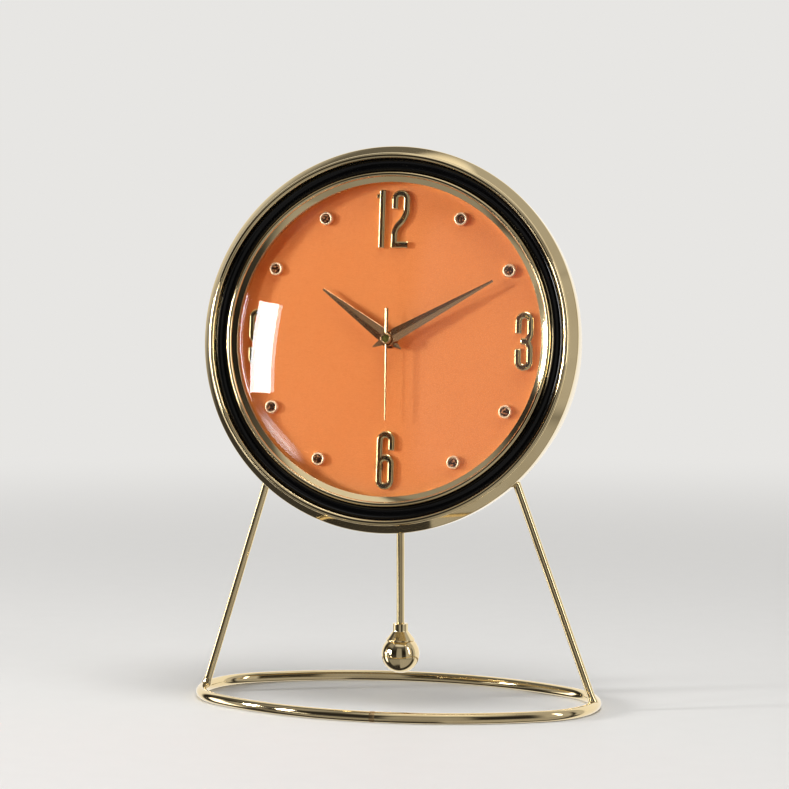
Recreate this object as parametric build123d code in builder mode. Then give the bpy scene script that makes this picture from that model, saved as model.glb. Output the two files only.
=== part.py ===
from build123d import *
import os
from math import atan2, cos, degrees, radians, sin, sqrt, tan

# Desk pendulum clock: a round head leaning back on two bars and an oval hoop, with a pendulum.
# Millimetres, +Z up, dial towards -Y. The origin is on the table, at the middle of the hoop.
# Heights on the head are counted along its axis from the face of the dial, forwards positive.

# Stand
HOOP_WIDTH = 250.0
HOOP_DEPTH = 142.0
HOOP_BAR = 6.5
HOOP_FLAT = 0.25
HOOP_END_RADIUS = 46.0
LEG_BAR = 4.8
LEG_SEAT_ANGLE = 44.3
LEG_SEAT_SETBACK = 6.2

# Place of the head
DIAL_HEIGHT = 219.0
DIAL_FORWARD = 13.5
HEAD_TILT = 7.0

# Head: its radius at the rim, and the widths of what lies inside it
HEAD_RADIUS = 115.0
RIM_OVERHANG = 3.5
RIM_WIDTH = 8.0
CHANNEL_WIDTH = 7.6
BEZEL_WIDTH = 6.2
BEZEL_WALL = 3.9

# Case
CASE_TAPER = 4.0
CASE_DEPTH = 37.7
CASE_SHEET = 1.2
CASE_REAR_ROUND = 1.0
FRONT_FLANGE_LAP = 7.5
REAR_FLANGE_WIDTH = 11.5
BACK_COVER_THICKNESS = 1.5
BACK_COVER_MARGIN = 3.0
BACK_COVER_EDGE = 0.5
COVER_WINDOW_MARGIN = 4.0
COVER_WINDOW_CORNER = 6.0
SCREW_COUNT = 4
SCREW_RADIUS = 1.5
SCREW_HEAD_RADIUS = 3.0
SCREW_HEAD_HEIGHT = 1.6
SCREW_LENGTH = 5.0
SCREW_CIRCLE_INSET = 7.5
SCREW_CLEARANCE = 0.1
SCREW_SLOT = 0.8

# Rim, black channel and bezel
RIM_FRONT = 11.3
RIM_BEAD_WIDTH = 3.4
RIM_BEAD_DROP = 1.3
RIM_CREASE_DROP = 2.3
RIM_SHOULDER = 4.4
RIM_SHOULDER_ROUND = 1.6
RIM_SKIRT_REAR = -7.5
RIM_SKIRT_TAPER = 0.6
RIM_SEAT = 2.0
SEAT_CLEARANCE = 0.3
CHANNEL_EDGE = 6.6
CHANNEL_FLOOR = 4.8
BEZEL_CREST = 10.0
BEZEL_BEAD_WIDTH = 3.0
BEZEL_LIP_FRONT = 6.9
BEZEL_SEAT = 1.5

# Dial and glass
LEATHER_THICKNESS = 0.8
BOARD_THICKNESS = 4.0
SPACER_HEIGHT = 3.4
SPACER_WALL = 1.9
GLASS_THICKNESS = 2.2
GLASS_RISE = 14.2
GLASS_LIP_CLEARANCE = 0.4

# Numerals and studs
NUMERAL_HEIGHT = 34.3
NUMERAL_WIDTH = 10.9
NUMERAL_STROKE = 3.7
NUMERAL_RAISE = 2.4
NUMERAL_BEVEL = 0.7
NUMERAL_INSET_UPRIGHT = 21.7
NUMERAL_INSET_SIDE = 11.4
NUMERAL_PAIR_GAP = 4.1
NUMERAL_FLAG = 1.45
NUMERAL_FLAG_DROP = 3.4
NUMERAL_FLAG_HEIGHT = 2.6
NUMERAL_FOOT = 10.3
NUMERAL_HOOK = 11.2
NUMERAL_THREE_HOOK = 12.6
NUMERAL_LOOP = 20.6
NUMERAL_BAR = 5.5
NUMERAL_NOTCH = 1.4
NUMERAL_SLANT_TOP = 6.0
NUMERAL_SLANT_LOW = -10.4
STUD_INSET = 10.5
STUD_HOURS = (1, 2, 4, 5, 7, 8, 10, 11)
STUD_RADIUS = 4.1
STUD_RAISE = 2.4
STUD_TAPER = 8.0
CRYSTAL_RADIUS = 2.7
CRYSTAL_SINK = 1.2
CRYSTAL_CROWN = 0.9
CRYSTAL_SIDES = 8

# Hands, at about ten past ten
HOUR_ANGLE = 305.5
MINUTE_ANGLE = 61.0
SECOND_ANGLE = 179.0
HOUR_LENGTH = 50.5
MINUTE_LENGTH = 72.0
SECOND_LENGTH = 48.2
SECOND_TAIL = 18.0
HOUR_HAND_LEVEL = 3.9
HAND_PITCH = 2.0
HAND_THICKNESS = 0.6
HAND_RIDGE = 0.9
HAND_WIDTH = 7.8
HAND_SHOULDER = 6.3
HAND_TIP = 1.3
HAND_TAIL = 10.0
HAND_TAIL_TIP = 0.8
HUB_RADIUS = 4.5
SECOND_WIDTH = 1.6
SECOND_TAIL_WIDTH = 2.3
SECOND_HUB_RADIUS = 3.4
SECOND_HUB_HEIGHT = 2.2
SECOND_HUB_BORE = 2.3
SECOND_HUB_DEPTH = 0.9

# Centre tubes and the nut that clamps the movement to the dial
ARBOR_RADIUS = 0.6
RUN_CLEARANCE = 0.06
PRESS_CLEARANCE = 0.02
MINUTE_TUBE_RADIUS = 1.6
HOUR_TUBE_RADIUS = 2.6
BUSH_RADIUS = 3.7
BUSH_FRONT = 3.2
DIAL_HOLE_CLEARANCE = 0.3
NUT_ACROSS_FLATS = 9.0
NUT_HEIGHT = 2.2
DIAL_WASHER_RADIUS = 5.2
DIAL_WASHER_THICKNESS = 0.5
CUSHION_RADIUS = 14.0
CUSHION_THICKNESS = 1.0

# Movement case
MOVEMENT_WIDTH = 56.0
MOVEMENT_TOP = 28.0
MOVEMENT_BOTTOM = -66.0
MOVEMENT_CORNER = 4.0
MOVEMENT_WALL = 1.5
WHEEL_THICKNESS = 1.0
LAYER_GAP = 0.8
LAST_LAYER_GAP = 1.6
PIVOT_DEPTH = 1.0
PIVOT_END_GAP = 0.2

# Wheel train: teeth of each wheel and of the pinion that meshes with it
TOOTH_ADDENDUM = 0.9
TOOTH_DEDENDUM = 1.25
TOOTH_TIP_SHARE = 0.20
TOOTH_ROOT_SHARE = 0.56
PINION_OVERHANG = 0.25
GOING_DISTANCE = 10.8
THIRD_WHEEL_TEETH = 45
SECOND_PINION_TEETH = 6
CENTRE_WHEEL_TEETH = 48
THIRD_PINION_TEETH = 6
MOTION_DISTANCE = 9.6
MINUTE_WHEEL_TEETH = 24
CANNON_TEETH = 8
HOUR_WHEEL_TEETH = 32
MINUTE_PINION_TEETH = 8
FIFTH_DISTANCE = 8.4
SECOND_WHEEL_TEETH = 36
FIFTH_PINION_TEETH = 6
ROTOR_DISTANCE = 7.2
FIFTH_WHEEL_TEETH = 30
ROTOR_PINION_TEETH = 6
SET_PINION_TEETH = 10
THIRD_DIRECTION = 135.0
MOTION_DIRECTION = 20.0
FIFTH_DIRECTION = 45.0
ROTOR_DIRECTION = 20.0
SET_DIRECTION = -30.0
WHEEL_HUB_RADIUS = 1.6
MINUTE_POST_RADIUS = 0.8
THIRD_HOLE_CLEARANCE = 0.35

# Stepping motor
ROTOR_RADIUS = 3.0
ROTOR_HEIGHT = 3.0
ROTOR_GAP = 0.5
STATOR_THICKNESS = 0.8
STATOR_WIDTH = 16.0
STATOR_FOOT = 8.0
STATOR_ARM = 3.0
STATOR_HEIGHT = 19.0
COIL_SIDE = 5.6
COIL_CLEARANCE = 0.15
PLATE_MARGIN = 6.8
PLATE_CORNER = 2.0
POST_RADIUS = 1.5
POST_INSET = 1.8
SHAFT_HOLE_CLEARANCE = 0.4
CIRCUIT_LENGTH = 21.0
CIRCUIT_WIDTH = 8.4
CIRCUIT_THICKNESS = 1.0
CIRCUIT_MARGIN = 2.2

# Setting knob
KNOB_SHAFT_RADIUS = 1.3
KNOB_RADIUS = 7.0
KNOB_HEIGHT = 3.6
KNOB_GAP = 0.5
KNOB_FLUTES = 18
KNOB_FLUTE_RADIUS = 0.7

# Battery, size AA
BATTERY_RADIUS = 7.1
BATTERY_LENGTH = 50.5
BATTERY_NUB_RADIUS = 2.75
BATTERY_NUB = 1.2
BATTERY_PLACE = -21.5
BAY_CLEARANCE = 0.4
BAY_RIB = 1.2
CONTACT_SIZE = 10.0
CONTACT_THICKNESS = 0.4
CONTACT_CLEARANCE = 0.1
CONTACT_DIMPLE_RADIUS = 2.2

# Pendulum and its drive
SWING = 5.0
PIVOT_PLACE = -38.0
HOOK_PLACE = -61.0
MAGNET_PLACE = -51.0
PIVOT_PIN_RADIUS = 1.0
PIVOT_PIN_HEAD = 2.2
PIVOT_PIN_HEAD_HEIGHT = 0.8
PIVOT_BOSS_RADIUS = 3.0
PIVOT_BOSS_HEIGHT = 2.6
LEVER_GAP = 0.3
LEVER_THICKNESS = 2.6
LEVER_EYE_RADIUS = 4.0
LEVER_ARM_WIDTH = 5.0
LEVER_PAD_RADIUS = 6.2
LEVER_TIP_RADIUS = 3.2
MAGNET_RADIUS = 4.0
MAGNET_THICKNESS = 2.0
HOOK_RADIUS = 1.2
HOOK_LENGTH = 4.2
HOOK_HEAD_RADIUS = 1.8
HOOK_HEAD_HEIGHT = 0.8
DRIVE_COIL_RADIUS = 8.0
DRIVE_COIL_BORE = 3.0
DRIVE_COIL_HEIGHT = 5.0
ROD_RADIUS = 2.45
EYE_BORE = 2.0
EYE_RADIUS = 3.6
EYE_THICKNESS = 2.4
EYE_SLACK = 0.25
SLOT_CLEARANCE = 1.6
BALL_RADIUS = 11.6
BALL_HEIGHT = 27.3
BALL_BORE_DEPTH = 8.0
CAP_SKIRT_RADIUS = 8.7
CAP_SKIRT_PLACE = 8.2
CAP_STEP = 0.7
CAP_COLLAR_RADIUS = 4.6
CAP_COLLAR_HEIGHT = 4.6
CAP_TOP = 18.6

os.makedirs("parts", exist_ok=True)


def write(piece, name):
    """Label one finished piece and write it as a STEP file."""
    piece.part.label = name
    export_step(piece.part, f"parts/{name}.step")


# The head's own plane: its normal runs out of the dial, its Y up the dial
lean = radians(HEAD_TILT)
HEAD = Plane(
    origin=(0, -DIAL_FORWARD, DIAL_HEIGHT),
    x_dir=(1, 0, 0),
    z_dir=(0, -cos(lean), sin(lean)),
)
# A plane through the head's axis for turned profiles: X is the radius, Y the height
PROFILE = Plane(origin=HEAD.origin, x_dir=HEAD.x_dir, z_dir=-HEAD.y_dir)
HEAD_AXIS = Axis(HEAD.origin, HEAD.z_dir)


def level(height, spot=(0, 0)):
    """A plane across the head's axis at a height, centred on a spot of the dial."""
    place = HEAD.from_local_coords((spot[0], spot[1], height))
    return Plane(origin=place, x_dir=HEAD.x_dir, z_dir=HEAD.z_dir)


def on_clock(radius, angle):
    """A spot on the dial from a radius and an angle, clockwise from twelve."""
    return (radius * sin(radians(angle)), radius * cos(radians(angle)))


def polar(start, distance, direction):
    """A spot at a distance and direction from another, anticlockwise from three o'clock."""
    turn = radians(direction)
    return (start[0] + distance * cos(turn), start[1] + distance * sin(turn))


# Radii of the head, from the rim inwards
case_front_radius = HEAD_RADIUS - RIM_OVERHANG
case_rear_radius = case_front_radius - CASE_TAPER
rim_bore = HEAD_RADIUS - RIM_WIDTH
bezel_radius = rim_bore - CHANNEL_WIDTH
bezel_bore = bezel_radius - BEZEL_WIDTH
dial_radius = bezel_radius - BEZEL_WALL
front_flange_bore = dial_radius - FRONT_FLANGE_LAP
stud_circle = bezel_bore - STUD_INSET
numeral_circle_upright = bezel_bore - NUMERAL_INSET_UPRIGHT
numeral_circle_side = bezel_bore - NUMERAL_INSET_SIDE

# Heights on the head
board_rear = -(LEATHER_THICKNESS + BOARD_THICKNESS)
case_front = board_rear
case_rear = case_front - CASE_DEPTH
movement_front = board_rear - CUSHION_THICKNESS
shell_floor = movement_front - MOVEMENT_WALL
layer_pitch = WHEEL_THICKNESS + LAYER_GAP


def layer(index):
    """Rear face of a wheel layer, counted from the front of the movement."""
    return shell_floor - (index + 1) * layer_pitch


HOUR_LAYER, MINUTE_LAYER, CENTRE_LAYER, PLATE_LAYER, THIRD_LAYER, SECOND_LAYER, FIFTH_LAYER = range(7)
cover_inner = layer(FIFTH_LAYER) - LAST_LAYER_GAP
cover_outer = cover_inner - MOVEMENT_WALL
front_pivot = shell_floor + PIVOT_DEPTH - PIVOT_END_GAP
rear_pivot = cover_inner - PIVOT_DEPTH + PIVOT_END_GAP

# Places of the arbors on the dial
centre = (0, 0)
third_spot = polar(centre, GOING_DISTANCE, THIRD_DIRECTION)
motion_spot = polar(centre, MOTION_DISTANCE, MOTION_DIRECTION)
fifth_spot = polar(centre, FIFTH_DISTANCE, FIFTH_DIRECTION)
rotor_spot = polar(fifth_spot, ROTOR_DISTANCE, ROTOR_DIRECTION)


def module_for(distance, teeth, other_teeth):
    """Tooth module of a pair of wheels from the distance between their arbors."""
    return 2 * distance / (teeth + other_teeth)


third_module = module_for(GOING_DISTANCE, THIRD_WHEEL_TEETH, SECOND_PINION_TEETH)
centre_module = module_for(GOING_DISTANCE, CENTRE_WHEEL_TEETH, THIRD_PINION_TEETH)
minute_module = module_for(MOTION_DISTANCE, MINUTE_WHEEL_TEETH, CANNON_TEETH)
hour_module = module_for(MOTION_DISTANCE, HOUR_WHEEL_TEETH, MINUTE_PINION_TEETH)
second_module = module_for(FIFTH_DISTANCE, SECOND_WHEEL_TEETH, FIFTH_PINION_TEETH)
fifth_module = module_for(ROTOR_DISTANCE, FIFTH_WHEEL_TEETH, ROTOR_PINION_TEETH)
set_distance = minute_module * (MINUTE_WHEEL_TEETH + SET_PINION_TEETH) / 2
set_spot = polar(motion_spot, set_distance, SET_DIRECTION)


def mesh_phase(phase, teeth, other_teeth, direction):
    """Angle of a tooth on the second wheel of a pair, so that it is in mesh with the first."""
    return direction + 180 + 180 / other_teeth - (phase - direction) * teeth / other_teeth


def tooth_points(teeth, module, phase):
    """Corners of a toothed outline, one tooth centred on the phase angle."""
    root = module * (teeth / 2 - TOOTH_DEDENDUM)
    tip = module * (teeth / 2 + TOOTH_ADDENDUM)
    pitch = 360 / teeth
    flank = ((root, -TOOTH_ROOT_SHARE / 2), (tip, -TOOTH_TIP_SHARE / 2))
    corners = flank + tuple((radius, -share) for radius, share in reversed(flank))
    return [
        polar(centre, radius, phase + (tooth + share) * pitch)
        for tooth in range(teeth)
        for radius, share in corners
    ]


# Oval hoop of bent bar, four arcs, with its underside ground flat to stand without rocking
hoop_a = (HOOP_WIDTH - HOOP_BAR) / 2
hoop_b = (HOOP_DEPTH - HOOP_BAR) / 2
side_radius = (hoop_a**2 + hoop_b**2 - 2 * hoop_a * HOOP_END_RADIUS) / (2 * (hoop_b - HOOP_END_RADIUS))
end_centre = hoop_a - HOOP_END_RADIUS
side_centre = side_radius - hoop_b
end_turn = degrees(atan2(side_centre, end_centre))
hoop_level = HOOP_BAR / 2 - HOOP_FLAT

with BuildPart() as base_ring:
    with BuildLine(Plane.XY.offset(hoop_level)):
        CenterArc((end_centre, 0), HOOP_END_RADIUS, -end_turn, 2 * end_turn)
        CenterArc((0, -side_centre), side_radius, end_turn, 180 - 2 * end_turn)
        CenterArc((-end_centre, 0), HOOP_END_RADIUS, 180 - end_turn, 2 * end_turn)
        CenterArc((0, side_centre), side_radius, 180 + end_turn, 180 - 2 * end_turn)
    with BuildSketch(
        Plane(
            origin=(end_centre + HOOP_END_RADIUS * cos(radians(end_turn)),
                    -HOOP_END_RADIUS * sin(radians(end_turn)), hoop_level),
            z_dir=(sin(radians(end_turn)), cos(radians(end_turn)), 0),
        )
    ):
        Circle(HOOP_BAR / 2)
    sweep()
    split(bisect_by=Plane.XY, keep=Keep.TOP)
write(base_ring, "base_ring")

# Spun case: a front flange for the dial, a tapering wall and a rear flange for the cover
flange_bore = case_rear_radius - REAR_FLANGE_WIDTH
screw_circle = case_rear_radius - SCREW_CIRCLE_INSET
lever_front = cover_outer - PIVOT_BOSS_HEIGHT - LEVER_GAP
lever_rear = lever_front - LEVER_THICKNESS
hook_rear = lever_rear - HOOK_LENGTH
eye_level = (lever_rear + hook_rear) / 2
hook_point = HEAD.from_local_coords((0, HOOK_PLACE, eye_level))
rod_y = hook_point.Y
# Where the plumb rod crosses the wall at the bottom of the case
rod_offset = (rod_y + DIAL_FORWARD) / cos(lean) + case_rear_radius * tan(lean)
rod_reach = PIVOT_PLACE + case_front_radius
slot_half = rod_reach * tan(radians(SWING)) + ROD_RADIUS + SLOT_CLEARANCE
slot_depth = 2 * (ROD_RADIUS + SLOT_CLEARANCE)

with BuildPart() as case_drum:
    with BuildSketch(PROFILE) as case_section:
        with BuildLine():
            Polyline(
                (front_flange_bore, case_front),
                (case_front_radius, case_front),
                (case_rear_radius, case_rear),
                (flange_bore, case_rear),
                (flange_bore, case_rear + CASE_SHEET),
                (case_rear_radius - CASE_SHEET, case_rear + CASE_SHEET),
                (case_front_radius - CASE_SHEET, case_front - CASE_SHEET),
                (front_flange_bore, case_front - CASE_SHEET),
                close=True,
            )
        make_face()
        rear_corner = case_section.vertices().sort_by_distance((case_rear_radius, case_rear))[0]
        fillet(rear_corner, CASE_REAR_ROUND)
    revolve(axis=HEAD_AXIS)
    with BuildSketch(Plane(origin=HEAD.from_local_coords((0, 0, -rod_offset)),
                           x_dir=HEAD.x_dir, z_dir=-HEAD.y_dir)):
        SlotOverall(2 * slot_half, slot_depth)
    extrude(amount=case_front_radius + CASE_SHEET, mode=Mode.SUBTRACT)
    with BuildSketch(level(case_rear)):
        with PolarLocations(screw_circle, SCREW_COUNT, start_angle=180 / SCREW_COUNT):
            Circle(SCREW_RADIUS + SCREW_CLEARANCE)
    extrude(amount=CASE_SHEET, mode=Mode.SUBTRACT)
write(case_drum, "case_drum")

# Legs: straight bars from the hoop's ends to the wall of the case, cut to both
foot = Vector(hoop_a, 0, hoop_level)
seat_height = case_front - LEG_SEAT_SETBACK
seat = HEAD.from_local_coords(
    (
        (case_front_radius - LEG_BAR) * sin(radians(LEG_SEAT_ANGLE)),
        -(case_front_radius - LEG_BAR) * cos(radians(LEG_SEAT_ANGLE)),
        seat_height,
    )
)

with BuildPart() as leg_right:
    with BuildSketch(Plane(origin=foot, z_dir=seat - foot)):
        Circle(LEG_BAR / 2)
    extrude(amount=(seat - foot).length)
    with BuildSketch(PROFILE):
        Polygon(
            (0, case_front),
            (case_front_radius, case_front),
            (case_rear_radius, case_rear),
            (0, case_rear),
            align=None,
        )
    revolve(axis=HEAD_AXIS, mode=Mode.SUBTRACT)
    add(base_ring.part, mode=Mode.SUBTRACT)
write(leg_right, "leg_right")

with BuildPart() as leg_left:
    mirror(leg_right.part, about=Plane.YZ)
write(leg_left, "leg_left")

# Back cover with the window that reaches the battery, the knob and the pendulum's hook
cover_radius = case_rear_radius - BACK_COVER_MARGIN
window_height = MOVEMENT_TOP - MOVEMENT_BOTTOM + 2 * COVER_WINDOW_MARGIN
window_place = (MOVEMENT_TOP + MOVEMENT_BOTTOM) / 2

with BuildPart() as back_cover:
    with BuildSketch(level(case_rear)):
        Circle(cover_radius)
        with PolarLocations(screw_circle, SCREW_COUNT, start_angle=180 / SCREW_COUNT):
            Circle(SCREW_RADIUS + SCREW_CLEARANCE, mode=Mode.SUBTRACT)
        with Locations((0, window_place)):
            RectangleRounded(MOVEMENT_WIDTH + 2 * COVER_WINDOW_MARGIN, window_height,
                             COVER_WINDOW_CORNER, mode=Mode.SUBTRACT)
    extrude(amount=-BACK_COVER_THICKNESS)
    rear_face = back_cover.faces().sort_by(HEAD_AXIS)[0]
    chamfer(rear_face.outer_wire().edges(), BACK_COVER_EDGE)
write(back_cover, "back_cover")

cover_rear = case_rear - BACK_COVER_THICKNESS
with BuildPart() as cover_screws:
    with BuildSketch(level(cover_rear)):
        with PolarLocations(screw_circle, SCREW_COUNT, start_angle=180 / SCREW_COUNT):
            Circle(SCREW_HEAD_RADIUS)
    extrude(amount=-SCREW_HEAD_HEIGHT)
    chamfer(cover_screws.faces().group_by(HEAD_AXIS)[0].edges(), SCREW_HEAD_HEIGHT / 3)
    with BuildSketch(level(cover_rear)):
        with PolarLocations(screw_circle, SCREW_COUNT, start_angle=180 / SCREW_COUNT):
            Circle(SCREW_RADIUS)
    extrude(amount=SCREW_LENGTH)
    with BuildSketch(level(cover_rear - SCREW_HEAD_HEIGHT)):
        with PolarLocations(screw_circle, SCREW_COUNT, start_angle=180 / SCREW_COUNT):
            Rectangle(2 * SCREW_HEAD_RADIUS, SCREW_SLOT)
    extrude(amount=SCREW_HEAD_HEIGHT / 2, mode=Mode.SUBTRACT)
write(cover_screws, "cover_screws")

# Outer rim: a bead at the bore, a crease, a sloped band and a skirt over the edge of the case
skirt_bore = case_front_radius + SEAT_CLEARANCE
crease_radius = rim_bore + RIM_BEAD_WIDTH
with BuildPart() as outer_rim:
    with BuildSketch(PROFILE) as rim_section:
        with BuildLine():
            bead = ThreePointArc(
                (rim_bore, RIM_FRONT - RIM_BEAD_DROP),
                ((rim_bore + crease_radius) / 2, RIM_FRONT),
                (crease_radius, RIM_FRONT - RIM_CREASE_DROP),
            )
            Polyline(
                bead @ 1,
                (HEAD_RADIUS, RIM_SHOULDER),
                (HEAD_RADIUS - RIM_SKIRT_TAPER, RIM_SKIRT_REAR),
                (skirt_bore, RIM_SKIRT_REAR),
                (skirt_bore, RIM_SEAT),
                (rim_bore, RIM_SEAT),
                bead @ 0,
            )
        make_face()
        shoulder = rim_section.vertices().sort_by_distance((HEAD_RADIUS, RIM_SHOULDER))[0]
        fillet(shoulder, RIM_SHOULDER_ROUND)
    revolve(axis=HEAD_AXIS)
write(outer_rim, "outer_rim")

# Black channel ring: sits on the case flange and carries the rim and the bezel
channel_outer = rim_bore - SEAT_CLEARANCE / 2
channel_inner = bezel_radius + SEAT_CLEARANCE / 2
board_pocket = dial_radius + SEAT_CLEARANCE
with BuildPart() as channel_ring:
    with BuildSketch(PROFILE):
        with BuildLine():
            ThreePointArc(
                (channel_outer, CHANNEL_EDGE),
                ((channel_outer + channel_inner) / 2, CHANNEL_FLOOR),
                (channel_inner, CHANNEL_EDGE),
            )
            Polyline(
                (channel_inner, CHANNEL_EDGE),
                (channel_inner, BEZEL_SEAT),
                (board_pocket, BEZEL_SEAT),
                (board_pocket, case_front),
                (case_front_radius, case_front),
                (case_front_radius, RIM_SEAT),
                (channel_outer, RIM_SEAT),
                (channel_outer, CHANNEL_EDGE),
            )
        make_face()
    revolve(axis=HEAD_AXIS)
write(channel_ring, "channel_ring")

# Inner bezel: a half-round bead and a slope down to a lip over the edge of the glass
glass_radius = dial_radius - SEAT_CLEARANCE
glass_flange_top = SPACER_HEIGHT + GLASS_THICKNESS
bead_foot = BEZEL_CREST - BEZEL_BEAD_WIDTH / 2
with BuildPart() as inner_bezel:
    with BuildSketch(PROFILE):
        with BuildLine():
            CenterArc((bezel_radius - BEZEL_BEAD_WIDTH / 2, bead_foot), BEZEL_BEAD_WIDTH / 2, 0, 180)
            Polyline(
                (bezel_radius - BEZEL_BEAD_WIDTH, bead_foot),
                (bezel_bore, BEZEL_LIP_FRONT),
                (bezel_bore, glass_flange_top + SEAT_CLEARANCE),
                (dial_radius, glass_flange_top + SEAT_CLEARANCE),
                (dial_radius, BEZEL_SEAT),
                (bezel_radius, BEZEL_SEAT),
                (bezel_radius, bead_foot),
            )
        make_face()
    revolve(axis=HEAD_AXIS)
write(inner_bezel, "inner_bezel")

# Domed glass with a flat seat round its edge
dome_radius = bezel_bore - GLASS_LIP_CLEARANCE
inner_dome = dome_radius - GLASS_THICKNESS / 2


def dome_point(half_width, rise, base, share):
    """A point on a dome, at a share of the arc from its top to its edge."""
    curve = (half_width**2 + rise**2) / (2 * rise)
    turn = share * atan2(half_width, curve - rise)
    return (curve * sin(turn), base + rise - curve * (1 - cos(turn)))


with BuildPart() as lens_glass:
    with BuildSketch(PROFILE):
        with BuildLine():
            ThreePointArc(*[dome_point(dome_radius, GLASS_RISE, glass_flange_top, s) for s in (1, 0.5, 0)])
            ThreePointArc(*[dome_point(inner_dome, GLASS_RISE, SPACER_HEIGHT, s) for s in (0, 0.5, 1)])
            Polyline(
                (inner_dome, SPACER_HEIGHT),
                (glass_radius, SPACER_HEIGHT),
                (glass_radius, glass_flange_top),
                (dome_radius, glass_flange_top),
            )
            Line((0, SPACER_HEIGHT + GLASS_RISE), (0, glass_flange_top + GLASS_RISE))
        make_face()
    revolve(axis=HEAD_AXIS)
write(lens_glass, "lens_glass")

with BuildPart() as dial_spacer:
    with BuildSketch(level(0)):
        Circle(glass_radius)
        Circle(glass_radius - SPACER_WALL, mode=Mode.SUBTRACT)
    extrude(amount=SPACER_HEIGHT)
write(dial_spacer, "dial_spacer")

# Dial: leather on a board, clamped between the case flange and the spacer
dial_hole = BUSH_RADIUS + DIAL_HOLE_CLEARANCE
with BuildPart() as dial_leather:
    with BuildSketch(level(-LEATHER_THICKNESS)):
        Circle(dial_radius)
        Circle(dial_hole, mode=Mode.SUBTRACT)
    extrude(amount=LEATHER_THICKNESS)
write(dial_leather, "dial_leather")

with BuildPart() as dial_board:
    with BuildSketch(level(board_rear)):
        Circle(dial_radius)
        Circle(dial_hole, mode=Mode.SUBTRACT)
    extrude(amount=BOARD_THICKNESS)
write(dial_board, "dial_board")

# Numerals: bent strokes with rounded turns and a bevelled face
turn_radius = (NUMERAL_WIDTH - NUMERAL_STROKE) / 2
half_height = (NUMERAL_HEIGHT - NUMERAL_STROKE) / 2
arch = half_height - turn_radius
hook_end = half_height + NUMERAL_STROKE / 2 - NUMERAL_HOOK
three_hook_end = half_height + NUMERAL_STROKE / 2 - NUMERAL_THREE_HOOK
pair_width = NUMERAL_FLAG + NUMERAL_STROKE + NUMERAL_PAIR_GAP + NUMERAL_WIDTH
one_x = NUMERAL_FLAG + NUMERAL_STROKE / 2 - pair_width / 2
two_x = (pair_width - NUMERAL_WIDTH) / 2

with BuildPart() as numeral_12:
    with BuildSketch(level(0, (0, numeral_circle_upright))):
        with Locations((one_x, 0)):
            Rectangle(NUMERAL_STROKE, NUMERAL_HEIGHT)
        with Locations((one_x - NUMERAL_FLAG / 2, half_height - NUMERAL_FLAG_DROP / 2)):
            Rectangle(NUMERAL_STROKE + NUMERAL_FLAG, NUMERAL_FLAG_HEIGHT)
        with BuildLine():
            hook = Line((two_x - turn_radius, hook_end), (two_x - turn_radius, arch))
            top = JernArc(hook @ 1, (0, 1), turn_radius, -180)
            down = Line(top @ 1, (two_x + turn_radius, NUMERAL_SLANT_TOP))
            bend = TangentArc(down @ 1, (two_x, (NUMERAL_SLANT_TOP + NUMERAL_SLANT_LOW) / 2), tangent=(0, -1))
            back = TangentArc(bend @ 1, (two_x - turn_radius, NUMERAL_SLANT_LOW), tangent=bend % 1)
            Line(back @ 1, (two_x - turn_radius, -half_height))
        trace(line_width=NUMERAL_STROKE)
        with Locations((two_x + (NUMERAL_FOOT - NUMERAL_WIDTH) / 2, -half_height)):
            Rectangle(NUMERAL_FOOT, NUMERAL_STROKE)
    extrude(amount=NUMERAL_RAISE)
    chamfer(numeral_12.faces().group_by(HEAD_AXIS)[-1].edges(), NUMERAL_BEVEL)
write(numeral_12, "numeral_12")

with BuildPart() as numeral_3:
    with BuildSketch(level(0, (numeral_circle_side, 0))):
        with BuildLine():
            hook = Line((-turn_radius, three_hook_end), (-turn_radius, arch))
            top = JernArc(hook @ 1, (0, 1), turn_radius, -180)
            side = Line(top @ 1, (turn_radius, -arch))
            low = JernArc(side @ 1, (0, -1), turn_radius, -180)
            Line(low @ 1, (-turn_radius, -three_hook_end))
        trace(line_width=NUMERAL_STROKE)
        with Locations((turn_radius - NUMERAL_BAR / 2, 0)):
            Rectangle(NUMERAL_BAR, NUMERAL_STROKE)
        with Locations((NUMERAL_WIDTH / 2 + turn_radius - NUMERAL_NOTCH, 0)):
            Circle(turn_radius, mode=Mode.SUBTRACT)
    extrude(amount=NUMERAL_RAISE)
    chamfer(numeral_3.faces().group_by(HEAD_AXIS)[-1].edges(), NUMERAL_BEVEL)
write(numeral_3, "numeral_3")

loop_middle = (NUMERAL_LOOP - NUMERAL_HEIGHT) / 2
loop_bore = NUMERAL_WIDTH / 2 - NUMERAL_STROKE


def looped_numeral(spot, x_dir):
    """A six on a spot of the dial, which reads as a nine when its X runs backwards."""
    plane = Plane(origin=HEAD.from_local_coords((spot[0], spot[1], 0)), x_dir=x_dir, z_dir=HEAD.z_dir)
    with BuildPart() as numeral:
        with BuildSketch(plane) as outline:
            with BuildLine():
                hook = Line((turn_radius, hook_end), (turn_radius, arch))
                top = JernArc(hook @ 1, (0, 1), turn_radius, 180)
                Line(top @ 1, (-turn_radius, loop_middle))
            trace(line_width=NUMERAL_STROKE)
            with Locations((0, loop_middle)):
                SlotOverall(NUMERAL_LOOP, NUMERAL_WIDTH, rotation=90)
                SlotOverall(NUMERAL_LOOP - 2 * NUMERAL_STROKE, 2 * loop_bore, rotation=90, mode=Mode.SUBTRACT)
            joint = outline.vertices().sort_by_distance((-loop_bore, loop_middle + NUMERAL_LOOP / 2))[0]
            fillet(joint, NUMERAL_BEVEL)
        extrude(amount=NUMERAL_RAISE)
        chamfer(numeral.faces().group_by(HEAD_AXIS)[-1].edges(), NUMERAL_BEVEL)
    return numeral


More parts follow.
